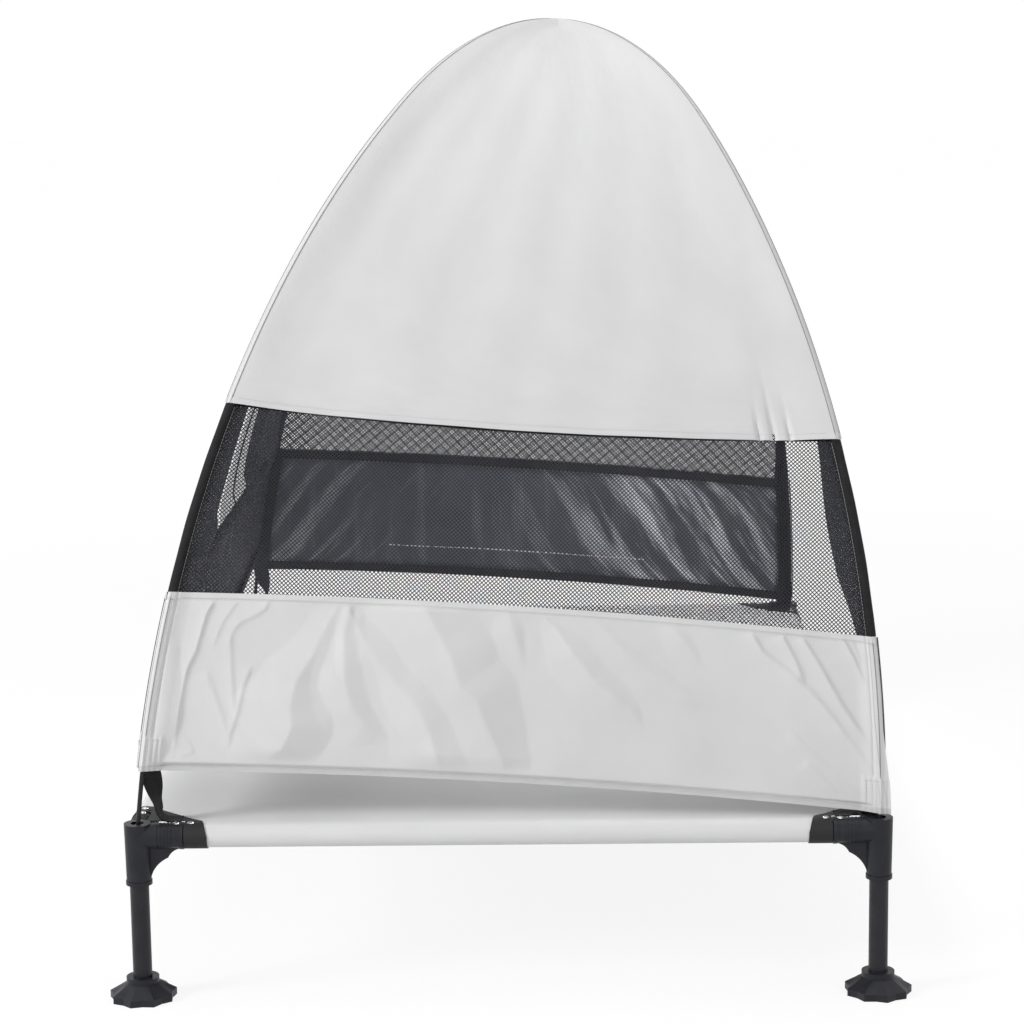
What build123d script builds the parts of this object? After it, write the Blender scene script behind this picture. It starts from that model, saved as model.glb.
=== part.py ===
from build123d import *
import os
from math import asin, atan2, cos, degrees, hypot, radians, sin

# A raised dog cot with a crossed-pole canopy. Millimetres, +Z up, -Y is the front.
# The origin is on the floor, midway between the four legs.

# Bed frame
leg_span_x = 732.0
leg_span_y = 1040.0
frame_top = 180.0
tube_diameter = 19.0
tube_wall = 1.5
slip_gap = 0.1
end_gap = 0.3

# Corner connectors: a collar over the leg, two arms over the rails
collar_height = 62.0
collar_wall = 2.7
collar_flare = 0.9
collar_lip_height = 4.0
collar_lip_proud = 0.8
arm_wall = 2.9
arm_reach = 46.0
arm_drop = 0.6
arm_band_width = 4.0
arm_band_proud = 1.0
arm_rib_count = 5
arm_rib_pitch = 3.5
arm_rib_width = 1.8
arm_rib_proud = 0.5
arm_rib_rivet_gap = 0.8
rail_stop = 13.0
gusset_thickness = 5.0
gusset_foot_lift = 7.0
gusset_step_inset = 16.0
gusset_step_drop = 9.4
gusset_bow = 3.0
leg_socket_depth = 32.0
socket_web = 3.0
pole_socket_gap = 3.0

# Feet
foot_height = 22.5
foot_rim_height = 7.0
foot_collar_height = 5.5
foot_collar_wall = 6.7
foot_petal_reach = 17.2
foot_valley_depth = 4.0
foot_petals = 9
foot_floor = 4.0
foot_turns = {"front_left": 16.0, "front_right": 0.0, "back_left": 27.0, "back_right": 8.0}

# Sling and its corner patches
sleeve_wall = 2.0
sheet_thickness = 1.2
sheet_sink = 0.3
sling_clearance = 0.8
patch_thickness = 0.8
patch_wrap_x = 23.2
patch_wrap_y = 19.2
patch_gap = 0.05
wrap_gap = 0.3

# Rivets
rivet_head_diameter = 6.8
rivet_head_height = 1.5
rivet_shank_diameter = 3.4
rivet_hole_gap = 0.1
rivet_seat_gap = 0.02
rivet_tail = 1.0
arm_rivet_inset = 7.5
patch_rivet_inset = 6.2

# Canopy poles: a three-centred arch over each diagonal, the whole canopy leaning to the right
canopy_lean = 4.1
arch_base_drop = 63.0
arch_rise = 841.0
crown_radius = 438.0
pole_outset_y = 1.5
rod_diameter = 4.5
rod_crossing_gap = 0.3
rod_joint_angle = 26.0
ferrule_wall = 0.8
ferrule_length = 44.0
ferrule_gap = 0.05
tip_wall = 1.25
tip_length = 22.0
tip_clearance = 0.1

# Canopy fabric, heights measured up the leaning canopy
hem_clearance = 3.6
lower_panel_height = 169.0
window_height = 185.0
panel_thickness = 1.2
mesh_thickness = 0.8
seam_gap = 0.2
pole_sleeve_slack = 1.0
pole_sleeve_wall = 1.1
sleeve_crown_gap = 16.0
binding_width = 9.0
binding_thickness = 0.8
crown_cap_diameter = 60.0
crown_cap_gap = 0.3

# Facings beside the poles: widths from the ridge. The back one on the right is gathered to its pole
facing_top_width = 270.0
facing_shoulder_width = 282.0
facing_shoulder_lift = 6.0
facing_foot_width = 68.0
facing_foot_drop = 36.0
facing_hem_width = 60.0
gathered_width = 50.0

# Hold-down straps, from the hem's corners to the corner patches
strap_width = 18.0
strap_thickness = 1.2
strap_hem_overlap = 14.0
strap_inset = 8.0
strap_hem_clearance = 1.5
strap_slope = 12.0
strap_tab_length = 12.0
strap_bend_radius = 3.0
strap_rest_gap = 0.3

# Sizes of the bed that follow from the ones above
half_x = leg_span_x / 2
half_y = leg_span_y / 2
tube_radius = tube_diameter / 2
socket_radius = tube_radius + slip_gap
collar_radius = socket_radius + collar_wall
collar_top_radius = collar_radius + collar_flare
arm_radius = socket_radius + arm_wall
arm_band_radius = arm_radius + arm_band_proud
rail_z = frame_top - arm_drop - arm_radius
collar_bottom = frame_top - collar_height
leg_socket_top = collar_bottom + leg_socket_depth
pole_socket_floor = leg_socket_top + socket_web
arm_rivet_reach = arm_reach - arm_rivet_inset
last_rib_end = arm_rivet_reach - rivet_head_diameter / 2 - arm_rib_rivet_gap
foot_collar_radius = socket_radius + foot_collar_wall
foot_tip_radius = foot_collar_radius + foot_petal_reach
foot_valley_radius = foot_tip_radius - foot_valley_depth
sleeve_bore_radius = tube_radius + end_gap
sleeve_radius = sleeve_bore_radius + sleeve_wall
sheet_top = rail_z + sleeve_radius - sheet_sink
sleeve_start = arm_reach + sling_clearance
corner_notch = max(arm_band_radius, collar_top_radius) + sling_clearance
wrap_bore_radius = sleeve_radius + wrap_gap
wrap_radius = wrap_bore_radius + patch_thickness
patch_bottom = sheet_top + patch_gap
patch_top = patch_bottom + patch_thickness
patch_leg_x = sleeve_start + patch_wrap_x
patch_leg_y = sleeve_start + patch_wrap_y
patch_rivet_reach = sleeve_start + patch_rivet_inset

# Sizes of the canopy that follow from the ones above
rod_radius = rod_diameter / 2
ferrule_radius = rod_radius + ferrule_gap + ferrule_wall
tip_radius = rod_radius + tip_wall
pole_socket_radius = tip_radius + pole_socket_gap
pole_sleeve_bore_radius = ferrule_radius + pole_sleeve_slack
pole_sleeve_radius = pole_sleeve_bore_radius + pole_sleeve_wall
pole_half_y = half_y + pole_outset_y
arch_half_span = hypot(half_x, pole_half_y)
pole_heading = degrees(atan2(pole_half_y, half_x))
lean = radians(canopy_lean)
arch_base_z = frame_top - arch_base_drop
tip_centre_z = pole_socket_floor + tip_clearance + tip_radius
canopy_shift_x = -(tip_centre_z - arch_base_z) * sin(lean)
hem_height = (arch_base_drop + hem_clearance + half_x * sin(lean)) / cos(lean)
sill_height = hem_height + lower_panel_height
window_top_height = sill_height + window_height

corners = {
    "front_left": (-1, -1),
    "front_right": (1, -1),
    "back_left": (-1, 1),
    "back_right": (1, 1),
}


# Helpers for the bed frame

def at_corner(shape, side_x, side_y):
    """Place a shape drawn with the leg axis at the origin and the bed towards +X and +Y."""
    if side_x > 0:
        shape = mirror(shape, about=Plane.YZ)
    if side_y > 0:
        shape = mirror(shape, about=Plane.XZ)
    return Pos(side_x * half_x, side_y * half_y, 0) * shape


def upright(radius, bottom, top):
    """A cylinder on the Z axis."""
    return Pos(0, 0, bottom) * Cylinder(radius, top - bottom, align=(Align.CENTER, Align.CENTER, Align.MIN))


def along_x(radius, start, end):
    """A cylinder along X at the rails' height."""
    bar = Cylinder(radius, end - start, align=(Align.CENTER, Align.CENTER, Align.MIN))
    return Pos(start, 0, rail_z) * Rot(0, 90, 0) * bar


def both_ways(shape):
    """A shape on the +X arm joined with its copy on the +Y arm."""
    return [shape, mirror(Rot(0, 0, 90) * shape, about=Plane.YZ)]


def rivet(seat_z, reach):
    """A domed rivet standing on a crest at seat_z, its shank reaching into the rail."""
    bottom = seat_z + rivet_seat_gap
    sphere_radius = (rivet_head_diameter ** 2 / 4 + rivet_head_height ** 2) / (2 * rivet_head_height)
    ball = Pos(0, 0, bottom + rivet_head_height - sphere_radius) * Sphere(sphere_radius)
    head = ball & upright(rivet_head_diameter, bottom, bottom + rivet_head_height)
    shank_end = rail_z + tube_radius - tube_wall - rivet_tail
    return Pos(reach, 0, 0) * (head + upright(rivet_shank_diameter / 2, shank_end, bottom))


def rivet_hole(reach):
    """The hole for a rivet through everything above the middle of the rail."""
    radius = rivet_shank_diameter / 2 + rivet_hole_gap
    return Pos(reach, 0, 0) * upright(radius, rail_z, rail_z + 2 * arm_radius)


# Pieces of the bed frame

def connector():
    """Corner connector: tapered collar, two ribbed arms, scalloped gussets and four sockets."""
    body = Pos(0, 0, collar_bottom) * Cone(
        collar_radius,
        collar_top_radius,
        collar_height,
        align=(Align.CENTER, Align.CENTER, Align.MIN),
    )
    body += upright(collar_radius + collar_lip_proud, collar_bottom, collar_bottom + collar_lip_height)
    arm = along_x(arm_radius, 0, arm_reach)
    arm += along_x(arm_band_radius, arm_reach - arm_band_width, arm_reach)
    for rib in range(arm_rib_count):
        end = last_rib_end - rib * arm_rib_pitch
        arm += along_x(arm_radius + arm_rib_proud, end - arm_rib_width, end)
    arm += gusset()
    for piece in both_ways(arm):
        body += piece
    body -= upright(socket_radius, collar_bottom, leg_socket_top)
    body -= upright(pole_socket_radius, pole_socket_floor, frame_top)
    for bore in both_ways(along_x(socket_radius, rail_stop, arm_reach)):
        body -= bore
    for hole in both_ways(rivet_hole(arm_rivet_reach)):
        body -= hole
    return body


def gusset():
    """The web under an arm, with two scallops along its free edge."""
    foot = (0, collar_bottom + gusset_foot_lift)
    wall = (collar_radius, collar_bottom + gusset_foot_lift)
    step = (arm_reach - gusset_step_inset, rail_z - arm_radius - gusset_step_drop)
    tip = (arm_reach, rail_z - arm_radius)
    top = (arm_reach, rail_z)
    outline = [
        Line((0, rail_z), foot),
        Line(foot, wall),
        scallop(wall, step),
        scallop(step, tip),
        Line(tip, top),
        Line(top, (0, rail_z)),
    ]
    return extrude(Plane.XZ * make_face(outline), gusset_thickness / 2, both=True)


def scallop(start, end):
    """An arc from start to end that bows up towards the arm."""
    run, rise = end[0] - start[0], end[1] - start[1]
    length = hypot(run, rise)
    middle_x = (start[0] + end[0]) / 2 - gusset_bow * rise / length
    middle_z = (start[1] + end[1]) / 2 + gusset_bow * run / length
    return ThreePointArc(start, (middle_x, middle_z), end)


def rail(span):
    """A straight rail tube along X, its ends just short of the sockets' floors."""
    end = span / 2 - rail_stop - end_gap
    tube = along_x(tube_radius, -end, end) - along_x(tube_radius - tube_wall, -end, end)
    for reach in (arm_rivet_reach, patch_rivet_reach):
        for side in (-1, 1):
            tube -= rivet_hole(side * (span / 2 - reach))
    return tube


def leg():
    """A leg tube from the foot's floor up into the connector's socket."""
    bottom = foot_floor + end_gap
    top = leg_socket_top - end_gap
    return upright(tube_radius, bottom, top) - upright(tube_radius - tube_wall, bottom, top)


def star(outer_radius, inner_radius):
    """A flat outline with a tip for each petal and a valley between."""
    points = []
    for index in range(2 * foot_petals):
        radius = outer_radius if index % 2 == 0 else inner_radius
        angle = radians(180 * index / foot_petals)
        points.append((radius * cos(angle), radius * sin(angle)))
    return make_face(Polyline(*points, close=True))


def foot():
    """A flared foot with petals, and a collar that the leg stands in."""
    shoulder = foot_height - foot_collar_height
    rim = star(foot_tip_radius, foot_valley_radius)
    neck = star(foot_collar_radius, foot_collar_radius)
    body = extrude(rim, foot_rim_height)
    body += loft([Pos(0, 0, foot_rim_height) * rim, Pos(0, 0, shoulder) * neck], ruled=True)
    body += upright(foot_collar_radius, shoulder, foot_height)
    return body - upright(socket_radius, foot_floor, foot_height)


def sling():
    """The bed fabric: a flat sheet with a sleeve sewn round each rail, notched at the corners."""
    sheet = Pos(0, 0, sheet_top - sheet_thickness) * Box(
        leg_span_x, leg_span_y, sheet_thickness, align=(Align.CENTER, Align.CENTER, Align.MIN)
    )
    notch_width = 2 * corner_notch
    notch = Pos(-corner_notch, -corner_notch, sheet_top - corner_notch) * Box(
        corner_notch + sleeve_start, notch_width, notch_width, align=(Align.MIN, Align.MIN, Align.MIN)
    )
    for side_x, side_y in corners.values():
        for cut in both_ways(notch):
            sheet -= at_corner(cut, side_x, side_y)
    sleeve_x = along_x(sleeve_radius, sleeve_start - half_x, half_x - sleeve_start)
    sleeve_y = Rot(0, 0, 90) * along_x(sleeve_radius, sleeve_start - half_y, half_y - sleeve_start)
    bore_x = along_x(sleeve_bore_radius, -half_x, half_x)
    bore_y = Rot(0, 0, 90) * along_x(sleeve_bore_radius, -half_y, half_y)
    for side in (-1, 1):
        sheet += Pos(0, side * half_y, 0) * sleeve_x
        sheet += Pos(side * half_x, 0, 0) * sleeve_y
    for side in (-1, 1):
        sheet -= Pos(0, side * half_y, 0) * bore_x
        sheet -= Pos(side * half_x, 0, 0) * bore_y
    for side_x, side_y in corners.values():
        for hole in both_ways(rivet_hole(patch_rivet_reach)):
            sheet -= at_corner(hole, side_x, side_y)
    return sheet


def patch_wrap(reach):
    """The part of a patch that goes round a rail's sleeve, open where the sheet leaves it."""
    wrap = along_x(wrap_radius, sleeve_start, reach) - along_x(wrap_bore_radius, sleeve_start, reach)
    lap = patch_lap()
    slot_height = sheet_thickness + 2 * patch_thickness
    slot = Pos(sleeve_start, lap, patch_bottom - slot_height) * Box(
        reach - sleeve_start, wrap_radius, slot_height, align=(Align.MIN, Align.MIN, Align.MIN)
    )
    return wrap - slot


def patch_lap():
    """How far from the rail's axis the flat of a patch runs into its wrap."""
    return (wrap_bore_radius ** 2 - (patch_bottom - rail_z) ** 2) ** 0.5 + patch_gap


def patch():
    """A black reinforcement over a corner of the sling: a flat triangle and two wraps."""
    lap = patch_lap()
    outline = Polyline(
        (sleeve_start, lap),
        (patch_leg_x * (1 - lap / patch_leg_y), lap),
        (lap, patch_leg_y * (1 - lap / patch_leg_x)),
        (lap, sleeve_start),
        (corner_notch, sleeve_start),
        (corner_notch, corner_notch),
        (sleeve_start, corner_notch),
        close=True,
    )
    flat = extrude(Pos(0, 0, patch_bottom) * make_face(outline), patch_thickness)
    wrap_y = mirror(Rot(0, 0, 90) * patch_wrap(patch_leg_y), about=Plane.YZ)
    body = flat + patch_wrap(patch_leg_x) + wrap_y
    for hole in both_ways(rivet_hole(patch_rivet_reach)):
        body -= hole
    return body


# Helpers for the canopy

def base_radius(rise):
    """Radius of the lower arcs of an arch that is upright at its feet and level at its crown."""
    overhang = arch_half_span - crown_radius
    return (arch_half_span ** 2 + rise ** 2 - 2 * rise * crown_radius) / (2 * overhang)


def join_angle(rise):
    """Angle above the level at which the lower arc meets the crown arc."""
    return degrees(atan2(rise - crown_radius, base_radius(rise) - arch_half_span))


def canopy_place(shape):
    """Lean a canopy piece to the right and set it over the bed."""
    return Pos(canopy_shift_x, 0, arch_base_z) * Rot(0, canopy_lean, 0) * shape


def arc_bar(section, centre, radius, start, end):
    """Carry a flat section round an arc in the XZ plane, angles from +X towards +Z."""
    turn = radians(start)
    origin = (centre[0] + radius * cos(turn), 0, centre[1] + radius * sin(turn))
    plane = Plane(origin=origin, x_dir=(0, 1, 0), z_dir=(-sin(turn), 0, cos(turn)))
    axis = Axis((centre[0], 0, centre[1]), (0, -1, 0))
    return revolve(plane * section, axis, end - start)


def base_arc(section, rise, start, end):
    """A bar along the lower right arc of a pole."""
    return arc_bar(section, (arch_half_span - base_radius(rise), 0), base_radius(rise), start, end)


def crown_arc(section, rise, start, end):
    """A bar along the crown of a pole."""
    return arc_bar(section, (0, rise - crown_radius), crown_radius, start, end)


def height_angle(height, rise):
    """Angle on the lower arc at a height above the arch's base."""
    return degrees(asin(height / base_radius(rise)))


def tip_angle(side, rise):
    """Angle on the lower arc where a pole's end stands on its socket's floor, side -1 left or 1 right."""
    rise_to_tip = tip_centre_z - arch_base_z
    return height_angle((rise_to_tip + side * half_x * sin(lean)) / cos(lean), rise)


def pole_side(shape, side):
    """A piece drawn on the right half of a pole, or its mirror image on the left half."""
    return shape if side > 0 else mirror(shape, about=Plane.YZ)


def ring(outer_radius, inner_radius):
    """A flat ring."""
    return Circle(outer_radius) - Circle(inner_radius)


def ridge_share(height):
    """How far a ridge stands from the canopy's middle at a height, as a share of its foot's distance."""
    radius = base_radius(arch_rise)
    angle = radians(height_angle(height, arch_rise))
    return (arch_half_span - radius + radius * cos(angle)) / arch_half_span


def ridge_point(side_x, height):
    """How far a ridge stands from the bed's middle in X, and how high, at a height up the canopy."""
    out = side_x * half_x * ridge_share(height)
    x = canopy_shift_x + out * cos(lean) + height * sin(lean)
    z = arch_base_z - out * sin(lean) + height * cos(lean)
    return x, z


# Pieces of the canopy's poles

def pole_pieces(rise):
    """Rod sections, ferrules and end tips of one pole, drawn in the XZ plane."""
    rod = Circle(rod_radius)
    join = join_angle(rise)
    rods = {"crown": crown_arc(rod, rise, join, 180 - join)}
    ferrule = ring(ferrule_radius, rod_radius + ferrule_gap)
    lower_half = degrees(ferrule_length / 2 / base_radius(rise))
    crown_half = degrees(ferrule_length / 2 / crown_radius)
    lower_ferrule = base_arc(ferrule, rise, rod_joint_angle - lower_half, rod_joint_angle + lower_half)
    upper_ferrule = base_arc(ferrule, rise, join - lower_half, join)
    upper_ferrule += crown_arc(ferrule, rise, join, join + crown_half)
    ferrules = []
    tips = []
    for side, name in ((-1, "left"), (1, "right")):
        start = tip_angle(side, rise)
        rods[name + "_lower"] = pole_side(base_arc(rod, rise, start, rod_joint_angle), side)
        rods[name + "_upper"] = pole_side(base_arc(rod, rise, rod_joint_angle, join), side)
        ferrules += [pole_side(lower_ferrule, side), pole_side(upper_ferrule, side)]
        tips.append(pole_side(pole_tip(rise, start), side))
    return rods, ferrules, tips


def pole_tip(rise, start):
    """A round-ended cap on a rod's end."""
    radius = base_radius(rise)
    turn = degrees(tip_length / radius)
    end_x = arch_half_span - radius * (1 - cos(radians(start)))
    end_z = radius * sin(radians(start))
    cap = base_arc(Circle(tip_radius), rise, start, start + turn)
    cap += Pos(end_x, 0, end_z) * Sphere(tip_radius)
    return cap - base_arc(Circle(rod_radius + ferrule_gap), rise, start, start + turn)


def pole_sleeve(side, rise):
    """The fabric channel along a ridge, from the hem almost to the crossing."""
    section = ring(pole_sleeve_radius, pole_sleeve_bore_radius)
    join = join_angle(rise)
    sleeve = base_arc(section, rise, height_angle(hem_height, rise), join)
    sleeve += crown_arc(section, rise, join, 90 - degrees(sleeve_crown_gap / crown_radius))
    return pole_side(sleeve, side)


# Pieces of the canopy's fabric

def shell_outline(half_width, outer_inset, inner_inset):
    """Section of a face of the canopy: the pole's arch, drawn in to the face's half width."""
    squeeze = half_width / arch_half_span
    radius = base_radius(arch_rise)
    join = join_angle(arch_rise)
    foot_centre = ((arch_half_span - radius) * squeeze, 0)
    crown_centre = (0, arch_rise - crown_radius)
    edges = []
    for inset in (outer_inset, inner_inset):
        foot_radii = (radius * squeeze - inset, radius - inset)
        crown_radii = (crown_radius * squeeze - inset, crown_radius - inset)
        edges.append(EllipticalCenterArc(foot_centre, *foot_radii, start_angle=0, arc_size=join))
        edges.append(EllipticalCenterArc(crown_centre, *crown_radii, start_angle=join, arc_size=90 - join))
    edges.append(Line(edges[0] @ 0, edges[2] @ 0))
    edges.append(Line(edges[1] @ 1, edges[3] @ 1))
    return make_face(edges)


def shell(face, outer_inset, inner_inset):
    """The whole curved wall of one face, wider than the canopy. face is front, back, left or right."""
    if face in ("front", "back"):
        outline = Plane.YZ * shell_outline(pole_half_y, outer_inset, inner_inset)
        wall = extrude(outline, leg_span_x, both=True)
        return wall if face == "back" else mirror(wall, about=Plane.XZ)
    outline = Plane.XZ * shell_outline(half_x, outer_inset, inner_inset)
    wall = extrude(outline, leg_span_y, both=True)
    return wall if face == "right" else mirror(wall, about=Plane.YZ)


def wedge(face, low, high):
    """The space between two ridges' sleeves, from one height to another."""
    edge = pole_sleeve_radius + seam_gap
    if face in ("front", "back"):
        sign = 1 if face == "back" else -1
        start = edge * arch_half_span / half_x
        points = [
            (0, sign * start),
            (-2 * half_x, sign * (start + 2 * pole_half_y)),
            (2 * half_x, sign * (start + 2 * pole_half_y)),
        ]
    else:
        sign = 1 if face == "right" else -1
        start = edge * arch_half_span / pole_half_y
        points = [
            (sign * start, 0),
            (sign * (start + 2 * half_x), -2 * pole_half_y),
            (sign * (start + 2 * half_x), 2 * pole_half_y),
        ]
    return extrude(Pos(0, 0, low) * make_face(Polyline(*points, close=True)), high - low)


def panel(face, low, high, thickness, inset=0.0):
    """A piece of one face between two heights."""
    return shell(face, inset, inset + thickness) & wedge(face, low, high)


def door_point(height, facing_width, margin):
    """A point of the opening's edge: a facing's width in from the ridge, at a height up the canopy."""
    return pole_half_y * ridge_share(height) - facing_width + margin, height


def door_edge(face, side_y, margin):
    """The edge of a side's opening beside one pole, from the window's top down to the hem."""
    if face == "right" and side_y > 0:
        heights_and_widths = [(window_top_height, gathered_width), (hem_height, gathered_width)]
    else:
        heights_and_widths = [
            (window_top_height, facing_top_width),
            (sill_height + facing_shoulder_lift, facing_shoulder_width),
            (sill_height - facing_foot_drop, facing_foot_width),
            (hem_height, facing_hem_width),
        ]
    return [door_point(height, width, margin) for height, width in heights_and_widths]


def door(face, side_y, margin):
    """The half of a side's opening that lies towards one pole, beside that pole's facing."""
    edge = door_edge(face, side_y, margin)
    outline = Polyline((0, window_top_height), *edge, (0, hem_height), close=True)
    half = extrude(Plane.YZ * make_face(outline), 2 * half_x * (1 if face == "right" else -1))
    return half if side_y > 0 else mirror(half, about=Plane.XZ)


def facing(face, side_y, low):
    """The strip of side wall beside one pole, from a height up to the window's top."""
    strip = panel(face, low, window_top_height - seam_gap, panel_thickness) - door(face, side_y, seam_gap)
    half = Box(4 * half_x, 2 * pole_half_y, 4 * arch_rise, align=(Align.CENTER, Align.MIN, Align.CENTER))
    return strip & (half if side_y > 0 else mirror(half, about=Plane.XZ))


def bindings():
    """Tapes sewn inside the walls, at the hem, below the windows and above them."""
    inset = panel_thickness + seam_gap
    bands = [
        (hem_height, hem_height + binding_width),
        (sill_height - binding_width, sill_height),
        (window_top_height, window_top_height + binding_width),
    ]
    tapes = []
    for face in ("front", "back", "left"):
        tapes += [panel(face, low, high, binding_thickness, inset) for low, high in bands]
    return tapes


def crown_cap():
    """The patch over the poles' crossing, carried on the ends of the pole sleeves."""
    inner = crown_radius + pole_sleeve_radius + crown_cap_gap
    centre = Pos(0, 0, arch_rise - crown_radius)
    ball = centre * (Sphere(inner + panel_thickness) - Sphere(inner))
    low, high = arch_rise - crown_cap_diameter, arch_rise + crown_cap_diameter
    return ball & upright(crown_cap_diameter / 2, low, high)


def strap(side_x):
    """A webbing strap from the hem's corner down onto the corner patch, drawn as at a corner."""
    ridge_x, hem_z = ridge_point(side_x, hem_height)
    top_reach = half_x - side_x * ridge_x + pole_sleeve_radius + strap_hem_clearance
    top_z = hem_z + strap_hem_overlap
    tab_z = patch_top + strap_rest_gap + strap_thickness / 2
    heel = (top_reach + strap_slope, tab_z)
    toe = (top_reach + strap_slope + strap_tab_length, tab_z)
    path = FilletPolyline((top_reach, top_z), heel, toe, radius=strap_bend_radius)
    route = Plane.XZ.offset(-strap_inset - strap_width / 2) * path
    start = Plane(origin=route @ 0, x_dir=(0, 1, 0), z_dir=route % 0)
    return sweep(start * Rectangle(strap_width, strap_thickness), route)


# The assembly

def bed_nodes():
    """Every piece of the bed frame, by name."""
    nodes = {}
    nodes["front_rail"] = Pos(0, -half_y, 0) * rail(leg_span_x)
    nodes["back_rail"] = Pos(0, half_y, 0) * rail(leg_span_x)
    nodes["left_rail"] = Pos(-half_x, 0, 0) * Rot(0, 0, 90) * rail(leg_span_y)
    nodes["right_rail"] = Pos(half_x, 0, 0) * Rot(0, 0, 90) * rail(leg_span_y)
    nodes["bed_sling"] = sling()
    arm_rivets = both_ways(rivet(rail_z + arm_radius, arm_rivet_reach))
    patch_rivets = both_ways(rivet(rail_z + wrap_radius, patch_rivet_reach))
    nodes["rail_rivets"] = []
    nodes["patch_rivets"] = []
    one_connector = connector()
    one_patch = patch()
    one_leg = leg()
    one_foot = foot()
    for name, (side_x, side_y) in corners.items():
        nodes["connector_" + name] = at_corner(one_connector, side_x, side_y)
        nodes["patch_" + name] = at_corner(one_patch, side_x, side_y)
        nodes["leg_" + name] = at_corner(one_leg, side_x, side_y)
        turned_foot = Rot(0, 0, foot_turns[name]) * one_foot
        nodes["foot_" + name] = Pos(side_x * half_x, side_y * half_y, 0) * turned_foot
        nodes["rail_rivets"] += [at_corner(piece, side_x, side_y) for piece in arm_rivets]
        nodes["patch_rivets"] += [at_corner(piece, side_x, side_y) for piece in patch_rivets]
    return nodes


def pole_nodes():
    """Both poles and the sleeves along their ridges, by name. Pole 2 passes under pole 1."""
    nodes = {}
    lower_rise = arch_rise - rod_diameter - rod_crossing_gap
    for pole, heading, rise in (("pole_1", pole_heading, arch_rise), ("pole_2", -pole_heading, lower_rise)):
        turn = Rot(0, 0, heading)
        rods, ferrules, tips = pole_pieces(rise)
        for name, piece in rods.items():
            nodes[pole + "_" + name] = canopy_place(turn * piece)
        nodes[pole + "_ferrules"] = [canopy_place(turn * piece) for piece in ferrules]
        nodes[pole + "_tips"] = [canopy_place(turn * piece) for piece in tips]
        for side in (-1, 1):
            end_y = "back" if (side > 0) == (heading > 0) else "front"
            end_x = "right" if side > 0 else "left"
            nodes["ridge_sleeve_" + end_y + "_" + end_x] = canopy_place(turn * pole_sleeve(side, rise))
    return nodes


def fabric_nodes():
    """The canopy's panels, windows, facings, tapes and straps, by name."""
    nodes = {}
    top = arch_rise + crown_radius
    for face in ("front", "back", "left", "right"):
        nodes[face + "_upper_panel"] = panel(face, window_top_height, top, panel_thickness)
    for face in ("front", "back", "left"):
        window_low, window_high = sill_height + seam_gap, window_top_height - seam_gap
        window = panel(face, window_low, window_high, mesh_thickness)
        if face == "left":
            window = window & (door(face, -1, 0) + door(face, 1, 0))
        nodes[face + "_mesh_window"] = window
        nodes[face + "_lower_panel"] = panel(face, hem_height, sill_height, panel_thickness)
    for face, low in (("left", sill_height + seam_gap), ("right", hem_height)):
        nodes[face + "_front_facing"] = facing(face, -1, low)
        nodes[face + "_back_facing"] = facing(face, 1, low)
    nodes["seam_bindings"] = bindings()
    nodes["crown_cap"] = crown_cap()
    for name, piece in nodes.items():
        pieces = piece if isinstance(piece, list) else [piece]
        nodes[name] = [canopy_place(item) for item in pieces]
    straps = [at_corner(strap(side_x), side_x, side_y) for side_x, side_y in corners.values()]
    nodes["hold_down_straps"] = straps
    return nodes


def main():
    os.makedirs("parts", exist_ok=True)
    for nodes in (bed_nodes(), pole_nodes(), fabric_nodes()):
        for name, piece in nodes.items():
            pieces = piece if isinstance(piece, list) else [piece]
            solids = [solid for item in pieces for solid in item.solids()]
            shape = solids[0] if len(solids) == 1 else Compound(children=solids)
            export_step(shape, "parts/" + name + ".step")


main()
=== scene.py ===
"""Raised dog cot with a lift-off canopy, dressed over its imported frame. All sizes are in metres."""
from math import asin, atan2, cos, exp, hypot, pi, radians, sin, sqrt

import bpy
from mathutils import Matrix, Vector


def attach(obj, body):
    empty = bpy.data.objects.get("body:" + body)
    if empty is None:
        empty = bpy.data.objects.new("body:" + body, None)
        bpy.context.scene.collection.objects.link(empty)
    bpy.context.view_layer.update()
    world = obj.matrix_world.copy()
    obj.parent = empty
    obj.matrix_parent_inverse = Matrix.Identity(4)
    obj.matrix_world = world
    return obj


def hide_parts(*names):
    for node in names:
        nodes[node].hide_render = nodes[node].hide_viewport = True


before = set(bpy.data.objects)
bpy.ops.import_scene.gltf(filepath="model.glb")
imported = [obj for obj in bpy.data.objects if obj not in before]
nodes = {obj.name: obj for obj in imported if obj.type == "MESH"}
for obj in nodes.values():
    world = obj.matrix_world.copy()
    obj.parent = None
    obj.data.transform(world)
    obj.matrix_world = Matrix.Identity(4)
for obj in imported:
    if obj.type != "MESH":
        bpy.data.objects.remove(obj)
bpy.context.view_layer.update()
bpy.ops.object.select_all(action="DESELECT")

# The canopy's arch, as the frame has it: two crossed poles over the leg axes, leaning to the right
half_x = 0.366
half_y = 0.520
pole_half_y = 0.5215
arch_base_z = 0.117
arch_rise = 0.841
crown_radius = 0.438
canopy_lean = radians(4.1)
canopy_shift_x = -0.002831
crown_ease_heights = (0.60, 0.83)
crown_ease_x = 0.0020
crown_ease_z = 0.0014
arch_half_span = hypot(half_x, pole_half_y)
overhang = arch_half_span - crown_radius
foot_radius = (arch_half_span ** 2 + arch_rise ** 2 - 2 * arch_rise * crown_radius) / (2 * overhang)
join_turn = atan2(arch_rise - crown_radius, foot_radius - arch_half_span)
foot_arc_length = foot_radius * join_turn
arch_length = foot_arc_length + crown_radius * (pi / 2 - join_turn)

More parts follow.
